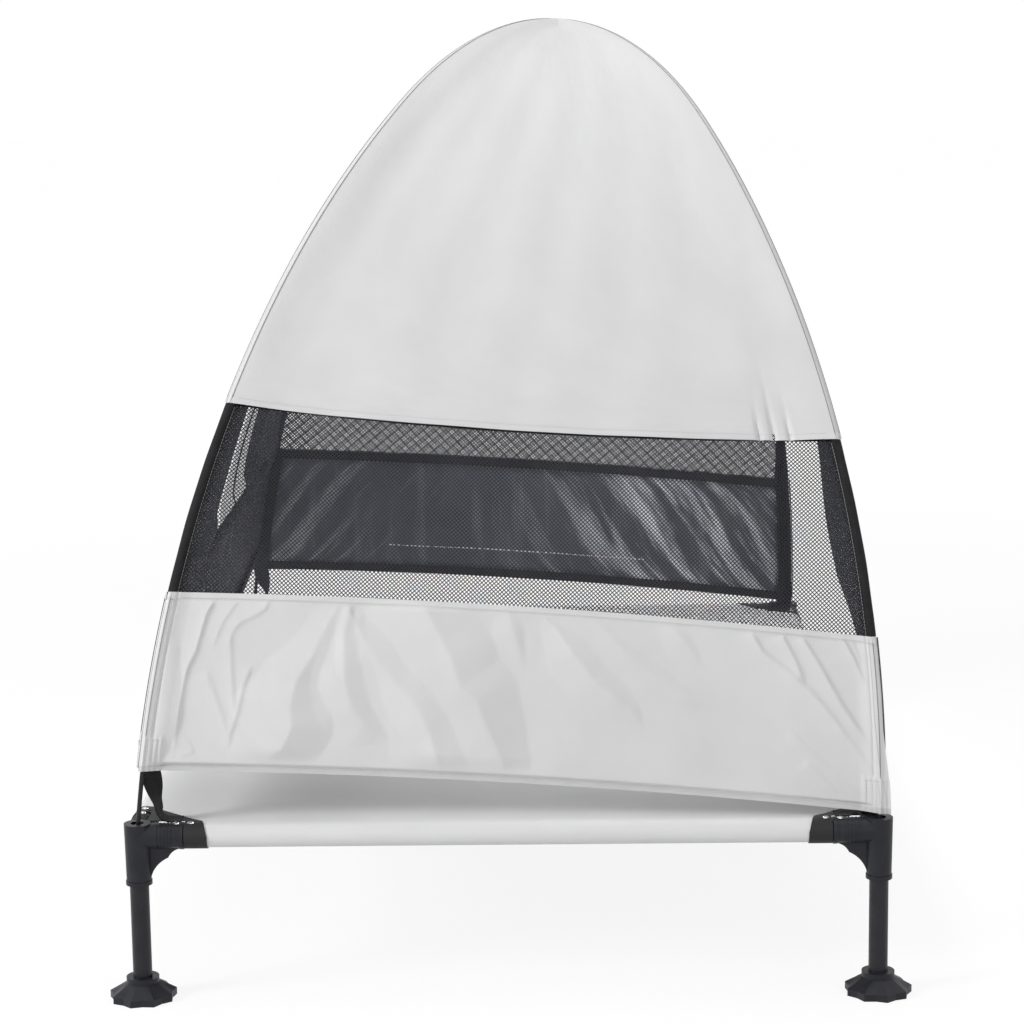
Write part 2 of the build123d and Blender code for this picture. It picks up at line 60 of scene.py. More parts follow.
# The canopy's cloth, heights up the leaning canopy
hem_height = 0.0930
sill_height = 0.2620
window_top_height = 0.4470
window_top_droop = 0.0087
side_top_droop = 0.0040
cloth_thickness = 0.0009
sleeve_overlap = 0.0036
sleeve_radius = 0.0046
sleeve_crest = sleeve_radius + 0.0010
sleeve_wall = 0.0008
sleeve_crown_gap = 0.016
crossing_drop = 0.0048
crown_patch_radius = 0.030
panel_crown_gap = 0.013
upper_sag = 0.0040
lower_sag = 0.0030
hem_rise = 0.010
front_hem_rise = 0.0083
left_hem_tilt = 0.028
sill_rise = 0.008
net_allowance = 0.006
net_depth = 0.0022
net_sag = 0.002
net_sill_tuck = 0.0030
tape_width = 0.0115
tape_thickness = 0.0007
sleeve_seam_gap = 0.0062
# Share of a lower panel's cloth, up from its hem, that takes the darker hem cloth: painted shade along the
# hem band
hem_shade_share = 0.1015
hem_band = 0.0060
hem_set_back = 0.0016
hem_groove = 0.0038
edge_fold = 0.0070
corner_pull = 0.0070
corner_pull_height = 0.100
tab_width = 0.0176
tab_height = 0.034
tab_foot = 0.009
tab_edge = 0.0012
tab_rise = 0.0006
tab_line_pitch = 0.0050
corner_tape_width = 0.011

# The canopy's stitches: how far along an edge they go, and their gaps from the edges
sewn_reach = 0.97
hem_stitch_gap = 0.0038
sill_stitch_gap = 0.0052
tab_lines = (0.0012, 0.0062, 0.0112, 0.0162)
seam_dip = 0.0013

# The facings beside the poles, with the width of each one's cloth, and the left net behind its facings
facing_reach = 0.282
facing_foot_width = 0.060
facing_cloth_widths = {
    ("left", "front"): 0.335, ("left", "back"): 0.480,
    ("right", "front"): 0.335, ("right", "back"): 0.05,
}
binding_half_width = 0.0036
binding_half_thickness = 0.0009
binding_top_gap = 0.007
facing_sway = 0.004
left_back_extra = 0.105
left_back_bow = 0.050
left_sill_tuck = 0.0044
left_top_tuck = 0.0024
left_net_depth = 0.0012
left_net_tuck = 0.0046
left_net_top_tuck = 0.0022
net_seam_share = 1.36
net_seam_half_width = 0.0016
net_seam_shift = Vector((0.0040, 0, 0))

# The bed
rail_z = 0.1669
sling_sleeve_radius = 0.0118
sheet_top = 0.1784
sling_thickness = 0.0010
sling_sag = 0.004
sleeve_start = 0.0468
corner_notch = 0.0143
patch_leg_x = 0.070
patch_leg_y = 0.066
patch_lift = 0.0003
patch_notch = 0.0085
patch_clip = 0.0045
patch_thickness = 0.0008

# The hold-down straps: their middle line along the bed at the waist and at the patch
strap_half_width = 0.010
strap_thickness = 0.0012
strap_waist_y = 0.5120
strap_end_y = 0.5035

short_faces = ("front", "back")
window_faces = ("front", "back", "left")
faces = ("front", "back", "left", "right")
corners = {"front_left": (-1, -1), "front_right": (1, -1), "back_left": (-1, 1), "back_right": (1, 1)}


# Places on the canopy

def step(value, low, high):
    """Rise smoothly from 0 to 1 between two values."""
    share = min(max((value - low) / (high - low), 0.0), 1.0)
    return share * share * (3 - 2 * share)


def bell(value, middle, width):
    """1 at a middle, falling away smoothly on both sides."""
    return exp(-((value - middle) / width) ** 2)


def arch_place(length):
    """A place on a pole's arch by its length from the foot: share of the foot's reach, height, turn."""
    if length <= foot_arc_length:
        turn = length / foot_radius
        reach = arch_half_span - foot_radius + foot_radius * cos(turn)
        return reach / arch_half_span, foot_radius * sin(turn), turn
    turn = join_turn + (length - foot_arc_length) / crown_radius
    height = arch_rise - crown_radius + crown_radius * sin(turn)
    return crown_radius * cos(turn) / arch_half_span, height, turn


def arch_length_at(height):
    """Length of arch from the foot up to a height on its lower arc."""
    return foot_radius * asin(height / foot_radius)


def lean_over(x, y, height):
    """Lean a point of the upright canopy to the right and set it over the bed, eased over the crown."""
    ease = step(height, *crown_ease_heights)
    return Vector((
        canopy_shift_x + x * cos(canopy_lean) + height * sin(canopy_lean) + crown_ease_x * ease,
        y,
        arch_base_z - x * sin(canopy_lean) + height * cos(canopy_lean) + crown_ease_z * ease,
    ))


def ridge_reach(height):
    """Share of the foot's reach that the ridges keep at a height on the lower arc."""
    return arch_place(arch_length_at(height))[0]


def face_place(face, along, length, out=0.0):
    """A point of a canopy face, along from -1 to 1 between its ridges as seen from outside."""
    share, height, turn = arch_place(length)
    reach, half_width = (pole_half_y, half_x) if face in short_faces else (half_x, pole_half_y)
    normal_out, normal_up = cos(turn) * arch_half_span / reach, sin(turn)
    scale = out / hypot(normal_out, normal_up)
    depth = reach * share + normal_out * scale
    width = along * half_width * share
    height += normal_up * scale
    if face == "front":
        return lean_over(width, -depth, height)
    if face == "back":
        return lean_over(-width, depth, height)
    if face == "left":
        return lean_over(-depth, -width, height)
    return lean_over(depth, width, height)


def face_half_width(face, height):
    """Half of a face's width at a height."""
    return foot_half_width(face) * ridge_reach(height)


def foot_half_width(face):
    """Half of a face's width at the poles' feet."""
    return half_x if face in short_faces else pole_half_y


# Tools for cloth pieces

def only(piece):
    """Make one piece the selected and active one."""
    bpy.ops.object.select_all(action="DESELECT")
    piece.select_set(True)
    bpy.context.view_layer.objects.active = piece


def apply_modifiers(piece):
    """Apply every modifier on a piece, in order."""
    only(piece)
    for modifier in list(piece.modifiers):
        bpy.ops.object.modifier_apply(modifier=modifier.name)


def smooth(piece, angle=50.0):
    """Shade a piece smooth but for its sharp edges."""
    only(piece)
    bpy.ops.object.shade_smooth_by_angle(angle=radians(angle))


def ends_first(share):
    """Crowd rows towards both ends of a sheet, where its hems are."""
    return share - 0.12 * sin(2 * pi * share)


def sides_first(across):
    """Crowd columns towards both sides of a sheet, where it goes over the sleeves."""
    return 0.45 * across + 0.55 * sin(pi / 2 * across)


def cloth_grid(name, columns, rows, place, cut, crowd=None):
    """A grid laid out by place(across, up), each from -1 to 1. cut is the width and length of its cloth."""
    bpy.ops.object.select_all(action="DESELECT")
    bpy.ops.mesh.primitive_grid_add(x_subdivisions=columns, y_subdivisions=rows, size=2, calc_uvs=True)
    piece = bpy.context.object
    piece.name = name
    for vertex in piece.data.vertices:
        across = crowd(vertex.co.x) if crowd else vertex.co.x
        vertex.co = place(across, vertex.co.y)
    for corner in piece.data.uv_layers.active.data:
        across = (crowd(2 * corner.uv[0] - 1) + 1) / 2 if crowd else corner.uv[0]
        corner.uv = (across * cut[0], corner.uv[1] * cut[1])
    return piece


def thicken(piece, thickness, outside, inside=None, proud=False):
    """Give a sheet its two sides, the outside where it is, and smooth it."""
    piece.data.materials.append(outside)
    piece.data.materials.append(inside or outside)
    wall = piece.modifiers.new("wall", "SOLIDIFY")
    wall.thickness = thickness
    wall.offset = 1 if proud else -1
    wall.material_offset = 1
    wall.material_offset_rim = 0
    apply_modifiers(piece)
    smooth(piece)
    return piece


def tube(name, around, rows, spine, finish, wall=0.0):
    """A tube round spine(share), which gives its middle and its two half axes. It is closed or has a wall."""
    length = sum(
        (spine((row + 1) / rows)[0] - spine(row / rows)[0]).length for row in range(rows)
    )
    girth = 2 * pi * spine(0.5)[1].length

    def place(across, up):
        middle, side, out = spine((up + 1) / 2)
        turn = pi * (across + 1)
        return middle + side * cos(turn) + out * sin(turn)

    piece = cloth_grid(name, around, rows, place, (girth, length))
    only(piece)
    bpy.ops.object.mode_set(mode="EDIT")
    bpy.ops.mesh.select_all(action="SELECT")
    bpy.ops.mesh.remove_doubles(threshold=0.00001)
    if not wall:
        bpy.ops.mesh.fill_holes(sides=0)
    bpy.ops.mesh.normals_make_consistent(inside=False)
    bpy.ops.object.mode_set(mode="OBJECT")
    piece.data.materials.append(finish)
    if wall:
        shell = piece.modifiers.new("wall", "SOLIDIFY")
        shell.thickness = wall
        shell.offset = -1
        apply_modifiers(piece)
    smooth(piece)
    return piece


def join_pieces(name, pieces):
    """Join pieces of one kind into one object."""
    only(pieces[0])
    for piece in pieces:
        piece.select_set(True)
    bpy.context.view_layer.objects.active = pieces[0]
    bpy.ops.object.join()
    pieces[0].name = name
    return pieces[0]


def stitch_row(name, points, finish, pitch=0.0034, gauge=0.00042):
    """A row of sewn stitches along a line of points, one stitch repeated."""
    line = bpy.data.curves.new(name + "_line", "CURVE")
    line.dimensions = "3D"
    spline = line.splines.new("POLY")
    spline.points.add(len(points) - 1)
    for point, place in zip(spline.points, points):
        point.co = (*place, 1)
    guide = bpy.data.objects.new(name + "_line", line)
    bpy.context.collection.objects.link(guide)
    length = sum((b - a).length for a, b in zip(points, points[1:]))
    bpy.ops.object.select_all(action="DESELECT")
    bpy.ops.mesh.primitive_cylinder_add(vertices=6, radius=gauge, depth=pitch * 0.78, end_fill_type="TRIFAN")
    row = bpy.context.object
    row.name = name
    bpy.ops.object.mode_set(mode="EDIT")
    bpy.ops.mesh.select_all(action="SELECT")
    bpy.ops.transform.rotate(value=pi / 2, orient_axis="Y", center_override=(0, 0, 0))
    bpy.ops.transform.translate(value=(pitch / 2, 0, 0))
    bpy.ops.object.mode_set(mode="OBJECT")
    repeat = row.modifiers.new("repeat", "ARRAY")
    repeat.use_relative_offset = False
    repeat.use_constant_offset = True
    repeat.constant_offset_displace = (pitch, 0, 0)
    repeat.count = max(int(length / pitch), 1)
    follow = row.modifiers.new("follow", "CURVE")
    follow.object = guide
    apply_modifiers(row)
    bpy.data.objects.remove(guide)
    row.data.materials.append(finish)
    smooth(row)
    return row


# Tools for finishes

noise_low, noise_high = 0.3, 0.7
weave_depth = 0.0002


def feed(tree, socket, value):
    """Give an input its value, or link it to the output that drives it."""
    if isinstance(value, bpy.types.NodeSocket):
        tree.links.new(value, socket)
    else:
        socket.default_value = value


def node(tree, kind, settings=None, row=(), **values):
    """Add a node, set its options and feed its inputs, in a row or by name."""
    made = tree.nodes.new(kind)
    for name, value in (settings or {}).items():
        setattr(made, name, value)
    for socket, value in zip(made.inputs, row):
        feed(tree, socket, value)
    for name, value in values.items():
        feed(tree, made.inputs[name.replace("_", " ")], value)
    return made


def combine(tree, operation, first, second):
    """One value made from two by a maths operation."""
    return node(tree, "ShaderNodeMath", {"operation": operation}, (first, second)).outputs["Value"]


def eased(tree, source, start, end, low=0.0, high=1.0):
    """A smooth change from one level to another as a value goes from start to end."""
    level = node(
        tree, "ShaderNodeMapRange", {"interpolation_type": "SMOOTHSTEP"},
        Value=source, From_Min=start, From_Max=end, To_Min=low, To_Max=high,
    )
    return level.outputs["Result"]


def soft_noise(tree, place, scale, detail, roughness=0.5):
    """A soft noise from 0 to 1."""
    made = node(tree, "ShaderNodeTexNoise", Vector=place, Scale=scale, Detail=detail, Roughness=roughness)
    return made.outputs["Fac"]


def bands(tree, place, direction, pitch):
    """Even bands at a pitch, from 0 to 1."""
    made = node(
        tree, "ShaderNodeTexWave", {"bands_direction": direction, "wave_profile": "SIN"},
        Vector=place, Scale=pi / 10 / pitch, Distortion=0.0,
    )
    return made.outputs["Fac"]


def weave_height(tree, place, pitch):
    """Threads over and under, as a height."""
    return combine(tree, "MULTIPLY", bands(tree, place, "X", pitch), bands(tree, place, "Y", pitch))


def bump(tree, shader, height, strength, distance, under=None):
    """Raise the surface by a height."""
    raised = node(tree, "ShaderNodeBump", Strength=strength, Distance=distance, Height=height)
    if under is not None:
        feed(tree, raised.inputs["Normal"], under)
    feed(tree, shader.inputs["Normal"], raised.outputs["Normal"])
    return raised.outputs["Normal"]


def mottled_finish(name, places, scale, dark, light, rough, gloss):
    """A finish of two near colours mixed by a soft noise, which also varies its roughness."""
    material = bpy.data.materials.new(name)
    material.use_nodes = True
    tree = material.node_tree
    shader = tree.nodes["Principled BSDF"]
    place = node(tree, "ShaderNodeTexCoord").outputs[places]
    mix = soft_noise(tree, place, scale, 3.0, 0.55)
    ramp = node(tree, "ShaderNodeValToRGB", Fac=mix)
    for stop, position, colour in zip(ramp.color_ramp.elements, (noise_low, noise_high), (dark, light)):
        stop.position = position
        stop.color = (*colour, 1)
    level = node(
        tree, "ShaderNodeMapRange", Value=mix,
        From_Min=noise_low, From_Max=noise_high, To_Min=rough[0], To_Max=rough[1],
    )
    feed(tree, shader.inputs["Base Color"], ramp.outputs["Color"])
    feed(tree, shader.inputs["Roughness"], level.outputs["Result"])
    feed(tree, shader.inputs["Specular IOR Level"], gloss)
    return material, tree, shader, place


def woven_cloth(name, dark, light, pitch, rough, weave, sheen=0.1):
    """Closely woven coated cloth."""
    material, tree, shader, place = mottled_finish(name, "UV", 14.0, dark, light, rough, 0.35)
    feed(tree, shader.inputs["Sheen Weight"], sheen)
    soft = bump(tree, shader, soft_noise(tree, place, 55.0, 4.0), 0.25, 0.0012)
    bump(tree, shader, weave_height(tree, place, pitch), weave, weave_depth, under=soft)
    return material


def coated_lining(name, dark, light, gloss, layers):
    """The dark coated inside of the canopy's cloth, with bumped creases and layers of painted sheen: a pale
    grey mixed into its colour along the creases, standing in for their highlights.

    A layer has its slant, where across the cloth it is clear and where full, its strength and its start.
    """
    rough = (0.62 - 0.6 * gloss, 0.74 - 0.6 * gloss)
    material, tree, shader, place = mottled_finish(name, "UV", 9.0, dark, light, rough, gloss)
    colour = shader.inputs["Base Color"].links[0].from_socket
    across = node(tree, "ShaderNodeSeparateXYZ", Vector=place).outputs["X"]
    # Painted sheen: this pale grey is mixed into the colour along the creases as their painted highlights
    painted_sheen_colour = (0.60, 0.61, 0.66, 1)
    soft = None
    for slant, clear, full, strength, start in layers:
        turned = node(
            tree, "ShaderNodeMapping", {"vector_type": "TEXTURE"},
            Vector=place, Rotation=(0, 0, radians(slant)), Scale=(7.0, 1.0, 1.0),
        )
        creases = soft_noise(tree, turned.outputs["Vector"], 36.0, 5.0, 0.62)
        shine = eased(tree, creases, start, start + 0.2)
        amount = combine(tree, "MULTIPLY", shine, eased(tree, across, clear, full, 0.0, strength))
        painted_sheen_mix = node(tree, "ShaderNodeMix", {"data_type": "RGBA"}, Factor=amount, A=colour, B=painted_sheen_colour)
        colour = painted_sheen_mix.outputs["Result"]
        soft = bump(tree, shader, creases, 0.5, 0.004, under=soft)
    feed(tree, shader.inputs["Base Color"], colour)
    bump(tree, shader, weave_height(tree, place, 0.0011), 0.25, weave_depth, under=soft)
    return material


def open_net(name, thread_share, pitch=0.0041):
    """Black net of slanting threads, open between them."""
    dark, light = (0.030, 0.031, 0.037), (0.044, 0.045, 0.052)
    material, tree, shader, place = mottled_finish(name, "UV", 20.0, dark, light, (0.55, 0.7), 0.08)
    thread_edge = (1 + cos(pi * thread_share)) / 2
    threads = []
    for slant in (45, -45):
        turned = node(tree, "ShaderNodeMapping", Vector=place, Rotation=(0, 0, radians(slant)))
        across = bands(tree, turned.outputs["Vector"], "X", pitch / sqrt(2))
        threads.append(combine(tree, "GREATER_THAN", across, thread_edge))
    feed(tree, shader.inputs["Alpha"], combine(tree, "MAXIMUM", *threads))
    return material


def webbing_tape(name, rib_pitch):
    """Black woven tape with ribs across it."""
    dark, light = (0.010, 0.010, 0.011), (0.024, 0.024, 0.026)
    material, tree, shader, place = mottled_finish(name, "UV", 120.0, dark, light, (0.6, 0.8), 0.15)
    bump(tree, shader, weave_height(tree, place, rib_pitch), 0.6, 0.0004)
    return material


def moulded_plastic(name, dark, light, rough):
    """Black moulded plastic with a fine grain."""
    material, tree, shader, place = mottled_finish(name, "Object", 60.0, dark, light, rough, 0.26)
    bump(tree, shader, soft_noise(tree, place, 1800.0, 2.0), 0.12, 0.0002)
    return material


def bright_metal(name, dark, light, rough):
    """Plated metal with faint scuffs."""
    material, tree, shader, place = mottled_finish(name, "Object", 300.0, dark, light, rough, 0.5)
    feed(tree, shader.inputs["Metallic"], 1.0)
    bump(tree, shader, soft_noise(tree, place, 2500.0, 2.0), 0.05, 0.0001)
    return material


silver_cloth = woven_cloth(
    "silver_grey_cloth", (0.66, 0.66, 0.662), (0.70, 0.70, 0.702), 0.0009, (0.40, 0.52), 0.2,
)
# A darker grey copy of the silver cloth for the hem band: painted shade along the hem
hem_shade_cloth = woven_cloth(
    "hem_painted_shade", (0.56, 0.56, 0.562), (0.60, 0.60, 0.602), 0.0009, (0.45, 0.55), 0.2,
)
# Two tones of one coated lining. This one is darkened as painted shade and has a faint layer of painted
# sheen. The back wall's copy is lighter, as painted light, with strong painted sheen streaks along its
# creases
lining = coated_lining(
    "lining_painted_shade_and_sheen", (0.026, 0.026, 0.031), (0.036, 0.036, 0.042), 0.12, [(42, -1.0, 0.0, 0.05, 0.5)],
)
sheen_lining = coated_lining(
    "lining_creased_painted_sheen", (0.044, 0.048, 0.062), (0.060, 0.064, 0.080), 0.5,
    [(46, 0.42, 0.14, 0.9, 0.44), (-48, 0.42, 0.66, 0.34, 0.48), (80, -1.0, 0.0, 0.10, 0.5)],
)
net = open_net("black_net", 0.325)
back_net = open_net("black_net_at_the_back", 0.465)
# A darker copy of the grey seam cord: painted shade that darkens the outline line along the side faces' lower
# ridges
cord_finish = woven_cloth(
    "seam_cord_painted_shade", (0.075, 0.075, 0.078), (0.11, 0.11, 0.113), 0.0006, (0.55, 0.7), 0.2,
)
pale_cord_finish = woven_cloth(
    "grey_seam_cord", (0.20, 0.20, 0.203), (0.26, 0.26, 0.263), 0.0006, (0.55, 0.7), 0.2,
)
sling_cloth = woven_cloth("sling_cloth", (0.70, 0.70, 0.705), (0.74, 0.74, 0.745), 0.0012, (0.6, 0.72), 0.3)
patch_cloth = woven_cloth(
    "black_corner_cloth", (0.008, 0.008, 0.009), (0.016, 0.016, 0.017), 0.001, (0.58, 0.7), 0.25, 0.0,
)
black_tape = webbing_tape("black_binding_tape", 0.0012)
strap_webbing = webbing_tape("black_strap_webbing", 0.0018)
grey_thread = woven_cloth("grey_thread", (0.58, 0.58, 0.583), (0.64, 0.64, 0.643), 0.0005, (0.6, 0.75), 0.2)
tube_paint = moulded_plastic("satin_black_tube", (0.013, 0.013, 0.016), (0.020, 0.020, 0.024), (0.30, 0.42))
corner_plastic = moulded_plastic(
    "black_moulded_plastic", (0.010, 0.0105, 0.0145), (0.017, 0.0175, 0.022), (0.34, 0.5),
)
rod_finish = moulded_plastic("black_fibre_rod", (0.010, 0.010, 0.011), (0.018, 0.018, 0.019), (0.25, 0.36))
rivet_finish = bright_metal("bright_rivet", (0.50, 0.50, 0.51), (0.64, 0.64, 0.65), (0.22, 0.36))
ferrule_finish = bright_metal("drawn_ferrule", (0.55, 0.56, 0.58), (0.68, 0.69, 0.71), (0.28, 0.4))

# Finishes of the frame's own rigid pieces
for node_name, piece in nodes.items():
    if node_name.startswith(("connector_", "foot_")):
        finish = corner_plastic
    elif node_name.startswith("leg_") or node_name.endswith("_rail"):
        finish = tube_paint
    elif node_name.endswith("_rivets"):
        finish = rivet_finish
    elif node_name.endswith("_ferrules"):
        finish = ferrule_finish
    elif node_name.startswith("pole_"):
        finish = rod_finish
    else:
        continue
    piece.data.materials.clear()
    piece.data.materials.append(finish)


# Folds in the cloth of a face, as lines of places along and up it, drawn downwards. A facet has its width on
# the line's right, where it turns from the light. A crease has its rise and drops steeply on its right.
facet_slope = 0.25
crease_left = 0.010
crease_right = 0.0018
least_fold = 0.08
width_blend = 0.004


def near_line(line, x, height, half_width):
    """Gap from a place to a line, positive on its right, the line's width there and the share along it."""
    best_gap, sign, share_along = 1.0, 1.0, 0.0
    near = []
    for number, (start, end) in enumerate(zip(line, line[1:])):
        start_x = start[0] * half_width
        dx, dh = end[0] * half_width - start_x, end[1] - start[1]
        share = ((x - start_x) * dx + (height - start[1]) * dh) / (dx * dx + dh * dh)
        share = min(max(share, 0.0), 1.0)
        gap = hypot(x - start_x - dx * share, height - start[1] - dh * share)
        if gap < best_gap:
            best_gap = gap
            sign = 1.0 if (x - start_x) * dh - (height - start[1]) * dx < 0 else -1.0
            share_along = (number + share) / (len(line) - 1)
        if len(start) > 2:
            near.append((gap, start[2] + (end[2] - start[2]) * share))
    if not near:
        return best_gap * sign, 0.0, share_along
    pulls = [exp(-(gap - best_gap) / width_blend) for gap, width in near]
    width = sum(pull * width for pull, (gap, width) in zip(pulls, near)) / sum(pulls)
    return best_gap * sign, width, share_along


def folds_lift(folds, x, height, half_width):
    """How far the folds raise the cloth at a place."""
    facets, creases = folds
    lift = 0.0
    for line in facets:
        gap, width, share = near_line(line, x, height, half_width)
        if gap > 0:
            lift += facet_slope * max(width - gap, 0.0)
        else:
            lift += facet_slope * width * max(1 + gap / (1.6 * width + 0.006), 0.0)
    for line, rise in creases:
        gap, width, share = near_line(line, x, height, half_width)
        if -6 * crease_left < gap < 6 * crease_right:
            ends = step(share, 0.0, 0.12) * (1 - step(share, 0.72, 1.0))
            lift += rise * ends * exp(-gap / crease_right if gap > 0 else gap / crease_left)
    return lift


front_facets = [
    [(-0.968, 0.210, 0.012), (-0.965, 0.171, 0.018), (-0.961, 0.141, 0.020), (-0.959, 0.112, 0.012)],
    [
        (-0.516, 0.262, 0.003), (-0.538, 0.247, 0.009), (-0.569, 0.213, 0.013), (-0.604, 0.188, 0.020),
        (-0.612, 0.163, 0.034), (-0.600, 0.143, 0.040), (-0.621, 0.122, 0.036), (-0.653, 0.110, 0.022),
    ],
    [
        (-0.485, 0.262, 0.006), (-0.491, 0.237, 0.009), (-0.484, 0.217, 0.014), (-0.471, 0.189, 0.018),
        (-0.448, 0.166, 0.018), (-0.410, 0.150, 0.013), (-0.361, 0.1415, 0.004),
    ],
    [
        (-0.461, 0.2475, 0.010), (-0.408, 0.219, 0.020), (-0.333, 0.192, 0.017), (-0.267, 0.170, 0.019),
        (-0.227, 0.1425, 0.023), (-0.196, 0.110, 0.028),
    ],
    [
        (-0.267, 0.261, 0.034), (-0.227, 0.241, 0.040), (-0.187, 0.218, 0.044), (-0.153, 0.191, 0.044),
        (-0.109, 0.180, 0.042), (-0.076, 0.155, 0.038), (-0.026, 0.120, 0.028),
    ],
    [(-0.039, 0.266, 0.004), (-0.018, 0.247, 0.010), (0.009, 0.2225, 0.003)],
    [
        (0.091, 0.256, 0.005), (0.154, 0.230, 0.016), (0.212, 0.206, 0.016), (0.264, 0.193, 0.014),
        (0.314, 0.1795, 0.009), (0.343, 0.1655, 0.002),
    ],
    [
        (0.225, 0.2585, 0.003), (0.297, 0.233, 0.010), (0.382, 0.213, 0.012), (0.452, 0.197, 0.008),
        (0.508, 0.188, 0.002),
    ],
    [(0.408, 0.267, 0.003), (0.458, 0.249, 0.009), (0.497, 0.2325, 0.003)],
]
front_creases = [
    ([
        (-0.861, 0.266), (-0.881, 0.247), (-0.892, 0.210), (-0.908, 0.192), (-0.911, 0.161),
        (-0.912, 0.127), (-0.913, 0.100),
    ], 0.0024),
    ([
        (-0.714, 0.268), (-0.721, 0.255), (-0.743, 0.2485), (-0.782, 0.241), (-0.799, 0.232), (-0.805, 0.215),
    ], 0.0016),
    ([(-0.808, 0.232), (-0.789, 0.201), (-0.772, 0.171), (-0.763, 0.150)], 0.0016),
    ([(-0.732, 0.202), (-0.746, 0.181), (-0.752, 0.155), (-0.766, 0.131), (-0.769, 0.112)], 0.0018),
    ([(-0.861, 0.193), (-0.822, 0.170), (-0.794, 0.149), (-0.769, 0.128)], 0.0013),
    ([(-0.856, 0.113), (-0.904, 0.103)], 0.0010),
    ([(-0.801, 0.262), (-0.832, 0.240), (-0.851, 0.210)], 0.0012),
    ([(0.091, 0.258), (0.154, 0.230), (0.212, 0.206), (0.264, 0.193), (0.314, 0.178)], 0.0008),
    ([
        (0.640, 0.266), (0.679, 0.243), (0.763, 0.221), (0.812, 0.206), (0.873, 0.181), (0.910, 0.160),
    ], 0.0030),
    ([(0.733, 0.262), (0.771, 0.235), (0.795, 0.212)], 0.0030),
    ([(0.780, 0.266), (0.831, 0.2365), (0.889, 0.198), (0.928, 0.177), (0.980, 0.152)], 0.0030),
    ([(0.898, 0.266), (0.932, 0.243), (0.966, 0.213)], 0.0028),
    ([(0.930, 0.264), (0.955, 0.234)], 0.0016),
    ([(0.737, 0.169), (0.813, 0.145), (0.878, 0.127), (0.965, 0.103)], 0.0016),
    ([(0.785, 0.140), (0.887, 0.106)], 0.0014),
    ([(0.873, 0.181), (0.963, 0.137), (1.000, 0.115)], 0.0016),
]
back_facets = [
    [(-0.36, 0.262, 0.004), (-0.50, 0.20, 0.014), (-0.64, 0.13, 0.006)],
    [(-0.58, 0.262, 0.004), (-0.72, 0.20, 0.012), (-0.84, 0.13, 0.004)],
    [(-0.10, 0.262, 0.004), (-0.22, 0.20, 0.016), (-0.40, 0.12, 0.006)],
    [(0.30, 0.262, 0.004), (0.42, 0.20, 0.014), (0.52, 0.13, 0.006)],
    [(0.56, 0.262, 0.004), (0.70, 0.19, 0.014), (0.80, 0.12, 0.004)],
]
back_creases = [
    ([(-0.22, 0.262), (-0.36, 0.19), (-0.52, 0.12)], 0.0008),
    ([(0.12, 0.262), (0.20, 0.19), (0.34, 0.13)], 0.0008),
    ([(0.80, 0.260), (0.88, 0.19), (0.92, 0.13)], 0.0009),
]
left_facets = [
    [(-0.62, 0.262, 0.003), (-0.585, 0.22, 0.006), (-0.54, 0.18, 0.007), (-0.47, 0.13, 0.002)],
    [(-0.04, 0.262, 0.003), (0.00, 0.23, 0.006), (0.03, 0.19, 0.008), (0.05, 0.13, 0.003)],
    [(0.56, 0.262, 0.003), (0.60, 0.22, 0.006), (0.65, 0.18, 0.007), (0.72, 0.13, 0.002)],
]
left_creases = [
    ([(-0.86, 0.260), (-0.80, 0.19), (-0.76, 0.12)], 0.0009),
    ([(0.30, 0.262), (0.24, 0.20), (0.26, 0.13)], 0.0008),
    ([(0.84, 0.262), (0.88, 0.19), (0.92, 0.13)], 0.0010),
]
lower_folds = {
    "front": (front_facets, front_creases),
    "back": (back_facets, back_creases),
    "left": (left_facets, left_creases),
}
# Puckers at the upper panels' hems: place across and reach up the cloth
hem_puckers = [(0.74, 0.030), (0.787, 0.046), (0.84, 0.028)]
pucker_depth = 0.0030
pucker_width = 0.008


# The canopy's panels

def ripple(along, length, seed):
    """A faint unevenness of stretched cloth."""
    broad = 0.0006 * sin(9.0 * along + 23.0 * length + seed)
    return broad + 0.0004 * sin(21.0 * along - 13.0 * length + 2 * seed)


def over_sleeve(gap, reach=0.021):
    """Rise of a panel at a gap from its ridge, where it goes over the pole's sleeve."""
    if gap < 0:
        return sqrt(sleeve_crest * sleeve_crest - gap * gap)
    return sleeve_crest * (1 - step(gap, -0.004, reach))


def doubled_edge(gap, rise, flat, dip):
    """Rise of an edge that is folded double, flat at first, with a dip along its stitches."""
    return rise * (1 - step(gap, flat, edge_fold)) - rise * bell(gap, edge_fold, dip)


def upper_low(face, across):
    """Length of arch up to an upper panel's hem, which droops over the window."""
    droop = window_top_droop if face in short_faces else side_top_droop
    return arch_length_at(window_top_height - droop * (1 - across * across))


def upper_place(face, across, bottom_gap, seed):
    """A point of an upper panel, by how far it is above the panel's hem."""
    length = upper_low(face, across) + bottom_gap
    half_width = foot_half_width(face) * arch_place(length)[0]
    along = across * (half_width + sleeve_overlap) / half_width
    gap = half_width * (1 - abs(along))
    top_gap = arch_length - panel_crown_gap - length
    lift = -upper_sag * (1 - across * across) * step(bottom_gap, 0.0, 0.25) * step(top_gap, 0.0, 0.2)
    lift += over_sleeve(gap, min(0.060, 0.02 + 0.4 * half_width))
    lift += doubled_edge(bottom_gap, 0.0003, 0.0055, 0.0012)
    for middle, reach in hem_puckers:
        lift -= pucker_depth * bell(across, middle, pucker_width) * bell(bottom_gap, 0.0, reach)
    even = step(gap, 0.0, 0.03) * step(half_width, 0.03, 0.20)
    return face_place(face, along, length, lift + ripple(across, length, seed) * even)


